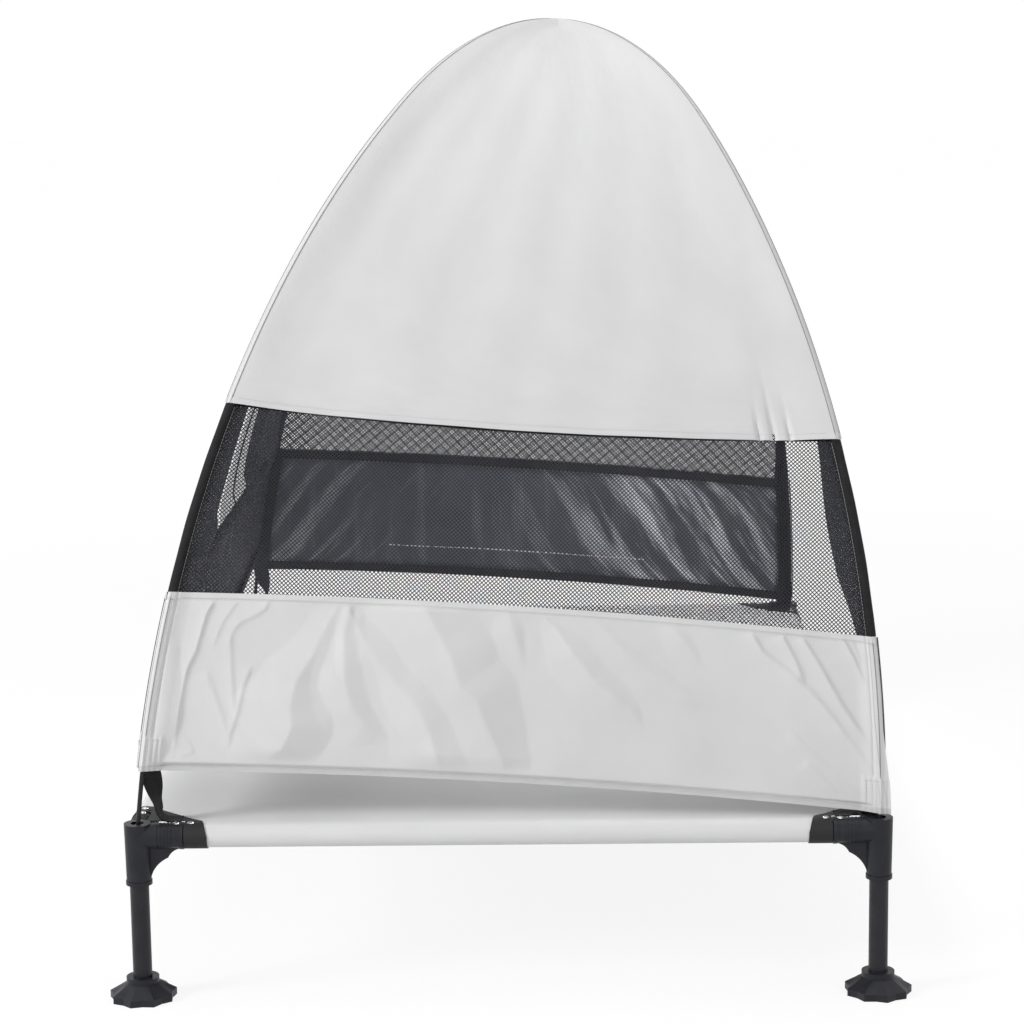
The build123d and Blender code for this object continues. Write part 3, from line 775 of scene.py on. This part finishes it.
def upper_panel(face, seed):
    """An upper panel, from its hem over the window up under the crown cap."""
    def place(across, up):
        reach = arch_length - panel_crown_gap - upper_low(face, across)
        return upper_place(face, across, reach * ends_first((up + 1) / 2), seed)

    width = 2 * face_half_width(face, window_top_height)
    cut = (width, arch_length - arch_length_at(window_top_height))
    columns = 240 if face == "front" else 130
    piece = cloth_grid(face + "_upper_panel_cloth", columns, 120, place, cut, sides_first)
    thicken(piece, cloth_thickness, silver_cloth, lining)
    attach(piece, "canopy")
    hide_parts(face + "_upper_panel")
    rows = 160
    points = [
        upper_place(face, -sewn_reach + 2 * sewn_reach * row / rows, 0.0060, seed) for row in range(rows + 1)
    ]
    seam_stitches.append(stitch_row(face + "_upper_stitches", points, grey_thread))


def hem_line(face, across):
    """Height of a lower panel's hem, which pulls up between its straps."""
    rise, tilt = hem_rise, 0.0
    if face == "front":
        rise, tilt = front_hem_rise, 0.0012 * across - 0.0018
    if face == "left":
        tilt = left_hem_tilt * step(-across, 0.15, 1.0)
    return hem_height + rise * (1 - across * across) + tilt


def sill_line(face, across):
    """Height of a lower panel's top edge, where the window is sewn on."""
    tilt = -0.0014 * across if face == "front" else 0.0
    if face == "left":
        tilt = 0.008 * step(-across, 0.0, 0.6)
    return sill_height + 0.002 + sill_rise * (1 - across * across) + tilt


def lower_place(face, across, height):
    """A point of a lower panel by its height, with its folds, hem, seams and corner tabs."""
    hem, sill = hem_line(face, across), sill_line(face, across)
    half_width = face_half_width(face, height)
    above_hem, below_sill = height - hem, sill - height
    overlap = sleeve_overlap
    if face == "front" and across > 0:
        overlap += corner_pull * step(across, 0.90, 1.0) * (1 - step(above_hem, 0.0, corner_pull_height))
    along = across * (half_width + overlap) / half_width
    gap = half_width * (1 - abs(along))
    inside = step(above_hem, 0.005, 0.026) * step(below_sill, -0.001, 0.012) * step(gap, 0.004, 0.020)
    lift = folds_lift(lower_folds[face], across * half_width, height, half_width) * max(inside, least_fold)
    lift -= lower_sag * (1 - across * across)
    lift += over_sleeve(max(gap, -sleeve_overlap))
    set_back = hem_set_back * (1 - step(above_hem, hem_band - 0.0018, hem_band))
    groove = hem_groove * bell(above_hem, hem_band, 0.0016)
    lift -= (set_back + groove) * step(gap, 0.002, 0.020)
    lift += doubled_edge(below_sill, 0.0006, 0.0060, 0.0010)
    beside = 1 - step(gap, tab_width, tab_width + tab_edge)
    tab = beside * (1 - step(above_hem, tab_height, tab_height + tab_edge))
    lift += tab_rise * tab - seam_dip * (1 - tab) * bell(gap, sleeve_seam_gap, 0.0011)
    lift += 0.0004 * tab * cos(2 * pi * gap / tab_line_pitch)
    lift += ripple(across, height, 3.0) * inside
    return face_place(face, along, arch_length_at(height), lift)


def lower_panel(face):
    """A lower panel between its hem and the window."""
    def place(across, up):
        hem, sill = hem_line(face, across), sill_line(face, across)
        return lower_place(face, across, hem + (sill - hem) * ends_first((up + 1) / 2))

    width = 2 * face_half_width(face, hem_height)
    cut = (width, sill_height - hem_height + 0.012)
    piece = cloth_grid(face + "_lower_panel_cloth", 390, 100, place, cut, sides_first)
    # The back wall gets the lighter lining with painted sheen. The other walls get the darker one with
    # painted shade
    thicken(piece, cloth_thickness, silver_cloth, sheen_lining if face == "back" else lining)
    # The outside faces low on the cloth take the darker hem cloth: painted shade along the hem band
    piece.data.materials.append(hem_shade_cloth)
    cloth_places = piece.data.uv_layers.active.data
    for polygon in piece.data.polygons:
        lowest = min(cloth_places[loop].uv[1] for loop in polygon.loop_indices)
        if polygon.material_index == 0 and lowest < hem_shade_share * cut[1]:
            polygon.material_index = 2
    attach(piece, "canopy")
    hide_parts(face + "_lower_panel")
    lower_stitches(face)


def lower_stitches(face):
    """The stitching on a lower panel: hem, top edge, sleeves and corner tabs."""
    steps = 120

    def row(name, line):
        points = [lower_place(face, *line(number / steps)) for number in range(steps + 1)]
        seam_stitches.append(stitch_row(face + name, points, grey_thread))

    def hem_stitch(share):
        across = 2 * sewn_reach * share - sewn_reach
        return across, hem_line(face, across) + hem_stitch_gap

    def sill_stitch(share):
        across = 2 * sewn_reach * share - sewn_reach
        return across, sill_line(face, across) - sill_stitch_gap

    if face == "back":
        inside = Vector((0, -0.0013, 0))
        points = []
        for number in range(steps + 1):
            across = 0.97 * number / steps - 0.45
            points.append(lower_place(face, across, hem_line(face, across) + 0.038) + inside)
        seam_stitches.append(stitch_row("back_inner_stitches", points, grey_thread, 0.0100, 0.0007))
    row("_hem_stitches", hem_stitch)
    row("_sill_stitches", sill_stitch)
    for side in (-1, 1):
        def across_at(height, gap, side=side):
            half_width = face_half_width(face, height)
            return side * (half_width - gap) / (half_width + sleeve_overlap)

        def sleeve_stitch(share, side=side):
            low = hem_line(face, side) + tab_height
            height = low + (sill_height - low) * share
            return across_at(height, sleeve_seam_gap - 0.0022), height

        row("_sleeve_stitches", sleeve_stitch)
        for line_gap in tab_lines:
            def tab_stitch(share, line_gap=line_gap, side=side):
                height = hem_line(face, side) + tab_foot + (tab_height - tab_foot) * share
                return across_at(height, line_gap), height

            row("_tab_stitches", tab_stitch)

        def tab_top_stitch(share, side=side):
            height = hem_line(face, side) + tab_height - 0.002
            return across_at(height, 0.0005 + 0.017 * share), height

        row("_tab_top_stitches", tab_top_stitch)


def window_head(across):
    """Height of a window's top edge, which droops in its middle."""
    return window_top_height - window_top_droop * (1 - across * across)


def window(face):
    """A net window, sewn behind the panels above and below it."""
    laid = []

    def place(across, up):
        low = sill_line(face, across) - net_allowance
        high = window_head(across) + net_allowance
        height = low + (high - low) * (up + 1) / 2
        half_width = face_half_width(face, height)
        along = across * 0.99
        slack = -net_depth - net_sag * (1 - across * across)
        slack -= net_sill_tuck * (1 - step(height - low, 0.004, 0.009))
        if face == "left":
            along *= (half_width - facing_width(height) + net_allowance) / half_width
            sill_tuck = left_net_tuck * (1 - step(height, sill_height + 0.020, sill_height + 0.044))
            slack -= left_net_depth + sill_tuck
            slack -= left_net_top_tuck * step(height, window_top_height - 0.042, window_top_height - 0.014)
        laid.append((along * half_width, arch_length_at(height)))
        return face_place(face, along, arch_length_at(height), slack)

    width = 2 * face_half_width(face, sill_height)
    if face == "left":
        width -= 2 * facing_width(sill_height)
    length = arch_length_at(window_top_height) - arch_length_at(sill_height) + 0.004
    piece = cloth_grid(face + "_window_net", 60, 20, place, (width, length))
    for loop, corner in zip(piece.data.loops, piece.data.uv_layers.active.data):
        corner.uv = laid[loop.vertex_index]
    piece.data.materials.append(back_net if face == "back" else net)
    smooth(piece)
    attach(piece, "canopy")
    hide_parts(face + "_mesh_window")


# The facings

def facing_width(height):
    """Width of a facing from its ridge at a height: wide beside the window, narrow at its foot."""
    shoulder, foot = sill_height + 0.006, sill_height - 0.036
    if height >= shoulder:
        return facing_reach - 0.012 * (height - shoulder) / (window_top_height - shoulder)
    if height >= foot:
        return 0.068 + 0.214 * (height - foot) / (shoulder - foot)
    return facing_foot_width + 0.008 * (height - hem_height) / (foot - hem_height)


def facing_sign(face, end):
    """The ridge that a facing is sewn along, as the sign of its side of the face."""
    return (-1 if end == "front" else 1) * (1 if face == "right" else -1)


def facing_place(face, end, inward, height):
    """A point of a facing, inward from 0 at its ridge to 1 at its free edge."""
    half_width = face_half_width(face, height)
    above_sill = height if face == "right" else max(height, sill_height + 0.006)
    sway = facing_sway * sin(24 * height) * step(height, sill_height, sill_height + 0.05)
    width = facing_width(above_sill) + sway
    if face == "right":
        lift = -0.004 * sin(pi * inward) - 0.006 * inward * (1 + sin(31 * height + 4 * inward)) / 2
    elif end == "back":
        bow = sin(pi * (height - sill_height) / (window_top_height - sill_height))
        width += left_back_extra + left_back_bow * bow
        lift = -0.0025 * sin(pi * min(inward / 0.55, 1.0)) - 0.0004 * inward
    else:
        lift = -0.003 * sin(pi * inward) - 0.0006 * inward
    if face == "left":
        below = left_sill_tuck * (1 - step(height, sill_height + 0.017, sill_height + 0.036))
        above = left_top_tuck * step(height, window_top_height - 0.034, window_top_height - 0.012)
        lift -= (below + above) * step(inward, 0.02, 0.12)
    along = facing_sign(face, end) * (1 - inward * width / half_width)
    return face_place(face, along * 0.996, arch_length_at(height), lift)


def gathered_place(inward, height):
    """A point of the facing that is gathered against its pole, folded back inside the back wall."""
    share = (height - hem_height) / (window_top_height - hem_height)
    width = 0.003 + 0.011 * step(share, 0.0, 0.2) * (1 - step(share, 0.45, 0.8))
    pleat = abs(2 * ((inward * 3.5) % 1) - 1)
    lift = -0.0060 - 0.0050 * pleat * (1 + 0.2 * sin(40 * share + 5 * inward))
    along = inward * width / face_half_width("back", height) - 1
    return face_place("back", along, arch_length_at(height), lift)


def facing(face, end):
    """A facing with its bound edge. The back one on the right is gathered against its pole."""
    low = sill_height - 0.004 if face == "left" else hem_height
    high = window_top_height + 0.006
    gathered = (face, end) == ("right", "back")
    sign = facing_sign(face, end)

    def place(across, up):
        height = low + (high - low) * (up + 1) / 2
        if gathered:
            return gathered_place((1 - across) / 2, height)
        return facing_place(face, end, (across * -sign + 1) / 2, height)

    span = (facing_cloth_widths[face, end], arch_length_at(high) - arch_length_at(low))
    name = face + "_" + end + "_facing"
    piece = cloth_grid(name + "_cloth", 48, 90, place, span)
    sides = (black_tape, black_tape) if gathered else (silver_cloth, lining)
    thicken(piece, cloth_thickness, *sides)
    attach(piece, "canopy")
    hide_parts(name)
    if gathered:
        return

    def spine(share, inward=1.0, half_width=binding_half_width):
        height = low + (high - binding_top_gap - low) * share
        edge = facing_place(face, end, inward, height)
        inner = facing_place(face, end, inward - 0.015, height)
        ahead = facing_place(face, end, inward, height + 0.002)
        side = (edge - inner).normalized()
        out = side.cross(ahead - edge).normalized()
        return edge, side * half_width, out * binding_half_thickness

    def net_seam(share):
        middle, side, out = spine(share, net_seam_share, net_seam_half_width)
        return middle + net_seam_shift, side, out

    bindings = [tube(name + "_binding", 10, 110, spine, black_tape)]
    if (face, end) == ("left", "back"):
        bindings.append(tube(name + "_net_seam", 10, 110, net_seam, black_tape))
    binding = join_pieces(name + "_binding", bindings)
    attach(binding, "canopy")


# The ridge sleeves and the poles' crossing

def ridge_frame(side_x, side_y, length, drop=0.0):
    """Middle of a ridge at a length of arch, and its level and outward directions."""
    share, height, turn = arch_place(length)
    heading = Vector((side_x * half_x, side_y * pole_half_y, 0)).normalized()
    reach = arch_half_span * share
    middle = lean_over(heading.x * reach, heading.y * reach, height - drop)
    tilt = Matrix.Rotation(canopy_lean, 3, "Y")
    outward = tilt @ Vector((heading.x * cos(turn), heading.y * cos(turn), sin(turn)))
    level = tilt @ Vector((-heading.y, heading.x, 0))
    return middle, level, outward


def ridge_sleeve(name, side_x, side_y):
    """The cloth channel along a ridge, grey beside the panels and black beside the windows."""
    start, end = arch_length_at(hem_height) - 0.001, arch_length - sleeve_crown_gap
    drop = crossing_drop if side_x * side_y < 0 else 0.0

    def spine(share):
        length = start + (end - start) * share
        middle, level, outward = ridge_frame(side_x, side_y, length, drop * step(length, 0.5, arch_length))
        swell = 1 + 0.05 * sin(40 * length) + 0.04 * sin(97 * length)
        return middle, level * sleeve_radius * 1.08 * swell, outward * sleeve_radius

    piece = tube("ridge_sleeve_cloth_" + name, 20, 150, spine, silver_cloth, wall=sleeve_wall)
    piece.data.materials.append(black_tape)
    sill_z = lean_over(side_x * half_x * ridge_reach(sill_height), 0, sill_height).z
    top_height = window_top_height + 0.006
    top_z = lean_over(side_x * half_x * ridge_reach(top_height), 0, top_height).z
    inward = Vector((-side_x * pole_half_y, -side_y * half_x, 0)).normalized()
    for polygon in piece.data.polygons:
        inside = polygon.normal.dot(inward) > -0.2
        if sill_z < polygon.center.z < top_z or (inside and polygon.center.z < top_z):
            polygon.material_index = 1
    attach(piece, "canopy")
    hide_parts("ridge_sleeve_" + name)


def seam_cord(name, face, end, low, high, radius, finish):
    """A thin corded seam where a face's cloth meets the ridge's sleeve, between two lengths of arch."""
    def spine(share):
        length = low + (high - low) * share
        middle = face_place(face, end, length, sleeve_crest)
        out = (face_place(face, end, length, sleeve_crest + 0.01) - middle).normalized()
        heading = (face_place(face, end, length + 0.004, sleeve_crest) - middle).normalized()
        gauge = radius * (1 - 0.6 * step(length, 0.6, arch_length))
        return middle, heading.cross(out).normalized() * gauge, out * gauge

    return tube(name, 6, 90, spine, finish)


def seam_cords():
    """The corded seams on both sides of every ridge, beside the lower and the upper panels."""
    lower_span = (arch_length_at(hem_height) + 0.004, arch_length_at(sill_height))
    upper_span = (arch_length_at(window_top_height), arch_length - 0.014)
    made = []
    for face in faces:
        short = face in short_faces
        # The side faces' lower cords take the darker copy: painted shade along the outline
        lower_look = (0.0004, pale_cord_finish) if short else (0.0009, cord_finish)
        upper_look = (0.0004 if short else 0.0006, pale_cord_finish)
        for end in (-1, 1):
            made.append(seam_cord("lower_cord", face, end, *lower_span, *lower_look))
            made.append(seam_cord("upper_cord", face, end, *upper_span, *upper_look))
    piece = join_pieces("seam_cords", made)
    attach(piece, "canopy")


def crown_patch():
    """The round patch over the poles' crossing."""
    ridge = atan2(pole_half_y, half_x)

    def place(across, up):
        turn, out = atan2(up, across), max(abs(across), abs(up))
        radius = crown_patch_radius * out
        off_ridge = radius * min(abs(sin(turn - ridge)), abs(sin(turn + ridge)))
        lift = over_sleeve(off_ridge, 0.028) + 0.0018 * (1 - out ** 2) - 0.0011
        height = arch_rise - crown_radius + sqrt((crown_radius + lift) ** 2 - radius ** 2)
        return lean_over(radius * cos(turn), radius * sin(turn), height)

    piece = cloth_grid("crown_patch_cloth", 40, 40, place, (0.06, 0.06))
    thicken(piece, cloth_thickness, silver_cloth, lining)
    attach(piece, "canopy")
    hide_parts("crown_cap")


def tape(name, face, low, high):
    """A tape sewn inside a face between two height lines."""
    def place(across, up):
        height = low(across) + (high(across) - low(across)) * (up + 1) / 2
        depth = 0.0048 + 0.0034 * (1 - across * across)
        return face_place(face, across * 0.985, arch_length_at(height), -depth)

    piece = cloth_grid(name, 60, 3, place, (2 * face_half_width(face, low(0)), tape_width))
    return thicken(piece, tape_thickness, black_tape)


def corner_tape(name, face, end):
    """A tape over the seam at a ridge, inside a face."""
    def place(across, up):
        height = hem_height + (sill_height + 0.004 - hem_height) * (up + 1) / 2
        inward = (1 - across * end) / 2
        along = end * (1 - (0.003 + corner_tape_width * inward) / face_half_width(face, height))
        return face_place(face, along, arch_length_at(height), -0.0042)

    piece = cloth_grid(name, 3, 60, place, (corner_tape_width, window_top_height - hem_height))
    return thicken(piece, tape_thickness, black_tape)


def edge_tape(name, face, end):
    """The sleeve's sewn edge beside a window, outside."""
    window_height = window_top_height - sill_height

    def edge_place(height, gap, out):
        along = end * (1 - gap / face_half_width(face, height))
        return face_place(face, along, arch_length_at(height), out)

    def place(across, up):
        height = sill_height + window_height * (up + 1) / 2
        return edge_place(height, 0.0005 + 0.0031 * (1 - across * end), 0.0012)

    piece = cloth_grid(name, 3, 40, place, (0.0062, window_height))
    rows = 60
    points = [edge_place(sill_height + window_height * row / rows, 0.0054, 0.0015) for row in range(rows + 1)]
    seam_stitches.append(stitch_row(name + "_stitches", points, pale_cord_finish))
    return thicken(piece, tape_thickness, black_tape)


def seam_tapes():
    """All the tapes inside the walls, and the sleeves' edges beside the windows."""
    made = []
    for face in window_faces:
        def hem(across, face=face):
            return hem_line(face, across) + (0.004 if face == "front" else 0.001)

        def sill(across, face=face):
            return sill_line(face, across) - tape_width

        def head(across, face=face):
            lower = 0.009 if face == "left" else 0.0
            return window_head(across) - lower

        for number, low in enumerate((hem, sill, head)):
            def high(across, low=low):
                return low(across) + tape_width

            made.append(tape(face + "_tape_" + str(number), face, low, high))
    for end in (-1, 1):
        made.append(corner_tape("back_corner_tape_" + str(end), "back", end))
        for face in short_faces:
            made.append(edge_tape(face + "_edge_tape_" + str(end), face, end))
    piece = join_pieces("seam_tapes", made)
    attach(piece, "canopy")
    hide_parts("seam_bindings")


def strap(name, side_x, side_y):
    """A webbing strap from the hem's corner, turned a quarter round on its way down to the corner patch."""
    share = ridge_reach(hem_height)
    top = lean_over(side_x * half_x * share, side_y * pole_half_y * share, hem_height)
    inward_x, inward_y = -side_x, -side_y
    route = [
        (top + Vector((inward_x * 0.0058, inward_y * 0.0075, 0.026)), 0.0),
        (top + Vector((inward_x * 0.0058, inward_y * 0.0060, 0.000)), 0.0),
        (Vector((top.x + inward_x * 0.0135, side_y * strap_waist_y, top.z * 0.33 + sheet_top * 0.67)), 0.86),
        (Vector((side_x * half_x + inward_x * 0.0225, side_y * strap_end_y, sheet_top + 0.0050)), 1.0),
        (Vector((side_x * half_x + inward_x * 0.030, side_y * strap_end_y, sheet_top + 0.0013)), 1.0),
        (Vector((side_x * half_x + inward_x * 0.043, side_y * strap_end_y, sheet_top + 0.0013)), 1.0),
    ]

    def place(across, up):
        share = (up + 1) / 2 * (len(route) - 1)
        index = min(int(share), len(route) - 2)
        part = share - index
        (a, turn_a), (b, turn_b) = route[index], route[index + 1]
        before = route[max(index - 1, 0)][0]
        after = route[min(index + 2, len(route) - 1)][0]
        slope_a, slope_b = (b - before) / 2, (after - a) / 2
        middle = (
            a * (1 + 2 * part) * (1 - part) ** 2 + slope_a * part * (1 - part) ** 2
            + b * part ** 2 * (3 - 2 * part) + slope_b * part ** 2 * (part - 1)
        )
        turn = pi / 2 * (turn_a + (turn_b - turn_a) * step(part, 0, 1))
        side = Vector((side_x * cos(turn), side_y * sin(turn), 0))
        return middle + side * across * strap_half_width * side_x * side_y

    piece = cloth_grid(name, 6, 50, place, (0.019, 0.11))
    return thicken(piece, strap_thickness, strap_webbing)


# The bed's sling and corner patches

def wrapped(distance, rail_middle, radius, top):
    """Place on a profile that runs along the deck and round a rail. distance is past the rail's middle."""
    if distance <= 0:
        return rail_middle + distance, top
    turn = distance / radius
    return rail_middle + radius * sin(turn), top - radius + radius * cos(turn)


def cut_out(piece, covers):
    """Cut away the faces of a flat piece whose middles are in a region."""
    only(piece)
    bpy.ops.object.mode_set(mode="EDIT")
    bpy.ops.mesh.select_all(action="DESELECT")
    bpy.ops.object.mode_set(mode="OBJECT")
    for polygon in piece.data.polygons:
        polygon.select = covers(polygon.center.x, polygon.center.y)
    bpy.ops.object.mode_set(mode="EDIT")
    bpy.ops.mesh.select_mode(type="FACE")
    bpy.ops.mesh.delete(type="FACE")
    bpy.ops.object.mode_set(mode="OBJECT")


def bed_sling():
    """The sling: a stretched sheet with a sleeve round each rail, its corners cut out."""
    wrap = sling_sleeve_radius * radians(318)
    wrap_rows = 20
    inner_columns, inner_rows = 66, 96
    sleeve_top = rail_z + sling_sleeve_radius
    flat = (2 * (half_x + wrap), 2 * (half_y + wrap))

    def cloth_lines(half, inner):
        edge = [0.0, corner_notch / 2, corner_notch, (corner_notch + sleeve_start) / 2, sleeve_start]
        lines = [-half - wrap + wrap * row / wrap_rows for row in range(wrap_rows)]
        lines += [-half + gap for gap in edge[:-1]]
        start = half - sleeve_start
        lines += [-start + 2 * start * row / inner for row in range(inner)]
        return lines + [-value for value in reversed(lines[:wrap_rows + len(edge)])]

    across_lines = cloth_lines(half_x, inner_columns)
    along_lines = cloth_lines(half_y, inner_rows)
    columns, rows = len(across_lines) - 1, len(along_lines) - 1

    def place(across, up):
        x, y = across_lines[round((across + 1) / 2 * columns)], along_lines[round((up + 1) / 2 * rows)]
        return Vector((x, y, 0))

    def in_corner(x, y):
        gap_x, gap_y = half_x - abs(x), half_y - abs(y)
        return max(gap_x, gap_y) < sleeve_start and min(gap_x, gap_y) < corner_notch + 0.010

    piece = cloth_grid("bed_sling_cloth", columns, rows, place, flat)
    cut_out(piece, in_corner)
    for vertex in piece.data.vertices:
        s, t = vertex.co.x, vertex.co.y
        x, z_x = wrapped(abs(s) - half_x, half_x, sling_sleeve_radius, sleeve_top)
        y, z_y = wrapped(abs(t) - half_y, half_y, sling_sleeve_radius, sleeve_top)
        z = min(z_x, z_y)
        inner = min(half_x - abs(s), half_y - abs(t))
        if inner > 0:
            z -= 0.0011 * step(inner, 0.006, 0.020) - 0.0004 * bell(inner, 0.030, 0.003)
            z -= sling_sag * (1 - (s / half_x) ** 2) * (1 - (t / half_y) ** 2)
        vertex.co = (x if s > 0 else -x, y if t > 0 else -y, z)
    thicken(piece, sling_thickness, sling_cloth)
    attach(piece, "bed_frame")
    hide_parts("bed_sling")


def corner_patch(name, side_x, side_y):
    """A black reinforcement over the sling's corner, wrapped round both sleeves."""
    radius = sling_sleeve_radius + patch_lift
    wrap = radius * radians(300)
    wrap_rows = 20
    reach = max(patch_leg_x, patch_leg_y) + 0.004
    edge = [0.0, patch_notch / 2, patch_notch, 0.022, 0.030, 0.038, sleeve_start]
    lines = [-wrap + wrap * row / wrap_rows for row in range(wrap_rows)] + edge
    lines += [sleeve_start + (reach - sleeve_start) * row / 8 for row in range(1, 9)]
    count = len(lines) - 1

    def place(across, up):
        return Vector((lines[round((across + 1) / 2 * count)], lines[round((up + 1) / 2 * count)], 0))

    def in_notch(x, y):
        return (x < patch_notch and y < sleeve_start) or (y < patch_notch and x < sleeve_start)

    piece = cloth_grid("corner_patch_cloth_" + name, count, count, place, (wrap + reach, wrap + reach))
    slant = Vector((1 / patch_leg_x, 1 / patch_leg_y, 0)).normalized()
    cuts = [
        ((patch_leg_x, 0, 0), (1, 0, 0)),
        ((0, patch_leg_y, 0), (0, 1, 0)),
        ((patch_leg_x, 0.001, 0), slant),
        ((patch_leg_x - patch_clip, 0, 0), Vector((1.0, 0.25, 0)).normalized()),
        ((0, patch_leg_y - patch_clip, 0), Vector((0.25, 1.0, 0)).normalized()),
    ]
    only(piece)
    bpy.ops.object.mode_set(mode="EDIT")
    for point, normal in cuts:
        bpy.ops.mesh.select_all(action="SELECT")
        bpy.ops.mesh.bisect(plane_co=point, plane_no=normal, clear_outer=True)
    bpy.ops.object.mode_set(mode="OBJECT")
    cut_out(piece, in_notch)
    top = rail_z + radius
    for vertex in piece.data.vertices:
        a, b = vertex.co.x, vertex.co.y
        out_x, z_x = wrapped(-a, 0.0, radius, top)
        out_y, z_y = wrapped(-b, 0.0, radius, top)
        z = min(z_x, z_y)
        if min(a, b) > 0:
            z -= 0.0009 * step(min(a, b), 0.006, 0.020)
        vertex.co = (side_x * (half_x + out_x), side_y * (half_y + out_y), z)
    if side_x * side_y < 0:
        only(piece)
        bpy.ops.object.mode_set(mode="EDIT")
        bpy.ops.mesh.select_all(action="SELECT")
        bpy.ops.mesh.flip_normals()
        bpy.ops.object.mode_set(mode="OBJECT")
    thicken(piece, patch_thickness, patch_cloth, proud=True)
    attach(piece, "bed_frame")
    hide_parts("patch_" + name)


seam_stitches = []
for name, sides in corners.items():
    ridge_sleeve(name, *sides)
for number, face in enumerate(faces):
    upper_panel(face, 1.7 * number)
for face in window_faces:
    lower_panel(face)
for face in window_faces:
    window(face)
for face in ("left", "right"):
    for end in ("front", "back"):
        facing(face, end)
crown_patch()
seam_cords()
seam_tapes()
stitches = join_pieces("seam_stitches", seam_stitches)
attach(stitches, "canopy")
loose_straps = [strap("strap_" + name, *sides) for name, sides in corners.items()]
straps = join_pieces("hold_down_strap_webbing", loose_straps)
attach(straps, "canopy")
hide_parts("hold_down_straps")
bed_sling()
for name, sides in corners.items():
    corner_patch(name, *sides)


# The studio: a pale floor, soft light and the camera

def seen_rays(tree):
    """1 for the rays that show a thing: from the camera, mirrored or passed through."""
    rays = node(tree, "ShaderNodeLightPath").outputs
    seen = combine(tree, "MAXIMUM", rays["Is Camera Ray"], rays["Is Glossy Ray"])
    return combine(tree, "MAXIMUM", seen, rays["Is Transmission Ray"])


def studio_floor():
    """A wide pale floor that keeps the object's shadow."""
    bpy.ops.object.select_all(action="DESELECT")
    bpy.ops.mesh.primitive_grid_add(x_subdivisions=4, y_subdivisions=4, size=60)
    floor = bpy.context.object
    floor.name = "studio_floor"
    material = bpy.data.materials.new("pale_floor")
    material.use_nodes = True
    tree = material.node_tree
    tree.nodes.clear()
    matt = node(tree, "ShaderNodeBsdfDiffuse", Color=(0.82, 0.82, 0.82, 1)).outputs["BSDF"]
    pale = node(tree, "ShaderNodeBsdfDiffuse", Color=(0.16, 0.16, 0.16, 1)).outputs["BSDF"]
    place = node(tree, "ShaderNodeTexCoord").outputs["Object"]
    away = node(tree, "ShaderNodeVectorMath", {"operation": "LENGTH"}, (place,)).outputs["Value"]
    level = eased(tree, away, 1.0, 4.0, 0.86, 0.94)
    glow = node(tree, "ShaderNodeEmission", Color=(1, 1, 1, 1), Strength=level).outputs["Emission"]
    shown = node(tree, "ShaderNodeAddShader", None, (pale, glow)).outputs["Shader"]
    choose = node(tree, "ShaderNodeMixShader", None, (seen_rays(tree), matt, shown))
    node(tree, "ShaderNodeOutputMaterial", Surface=choose.outputs["Shader"])
    floor.data.materials.append(material)


def studio_world():
    """Even light all round, white where the camera looks past the floor."""
    world = bpy.data.worlds.new("studio_world")
    bpy.context.scene.world = world
    world.use_nodes = True
    tree = world.node_tree
    tree.nodes.clear()
    light = node(tree, "ShaderNodeBackground", Color=(1, 1, 1, 1), Strength=0.34).outputs["Background"]
    white = node(tree, "ShaderNodeBackground", Color=(1, 1, 1, 1), Strength=1.0).outputs["Background"]
    choose = node(tree, "ShaderNodeMixShader", None, (seen_rays(tree), light, white))
    node(tree, "ShaderNodeOutputWorld", Surface=choose.outputs["Shader"])


def soft_lamp(name, place, target, size, watts):
    """A square soft lamp aimed at a point."""
    lamp = bpy.data.lights.new(name, "AREA")
    lamp.size = size
    lamp.energy = watts
    holder = bpy.data.objects.new(name, lamp)
    bpy.context.collection.objects.link(holder)
    holder.location = place
    holder.rotation_euler = (Vector(target) - Vector(place)).to_track_quat("-Z", "Y").to_euler()
    return holder


def photo_camera():
    """The camera at the photograph's viewing angle."""
    camera = bpy.data.objects.new("photo_camera", bpy.data.cameras.new("photo_camera"))
    bpy.context.collection.objects.link(camera)
    turned, tipped_down, rolled = 0.976, 9.718, -0.772
    camera.data.sensor_width = 36.0
    camera.data.lens = 93.51
    camera.location = (0.0517, -3.0524, 0.9216)
    turn = Matrix.Rotation(radians(turned), 3, "Z")
    pitch = Matrix.Rotation(radians(90 - tipped_down), 3, "X")
    roll = Matrix.Rotation(radians(rolled), 3, "Z")
    camera.rotation_euler = (turn @ pitch @ roll).to_euler()
    bpy.context.scene.camera = camera


studio_floor()
studio_world()
soft_lamp("key_lamp", (-3.3, -2.0, 2.0), (0, 0, 0.45), 1.2, 100)
soft_lamp("fill_lamp", (2.2, -3.2, 1.5), (0, 0, 0.45), 2.2, 26)
soft_lamp("top_lamp", (0.2, 0.2, 3.6), (0, 0, 0.4), 3.0, 44)
for lamp_name, place, target, watts in (
    ("front_inside_lamp", (0.05, 0.02, 0.72), (0.0, -0.20, 0.18), 1.9),
    ("back_inside_lamp", (0.05, 0.16, 0.66), (0.0, 0.40, 0.18), 2.4),
):
    soft_lamp(lamp_name, place, target, 0.20, watts).visible_camera = False
photo_camera()
bpy.context.scene.view_settings.view_transform = "Standard"
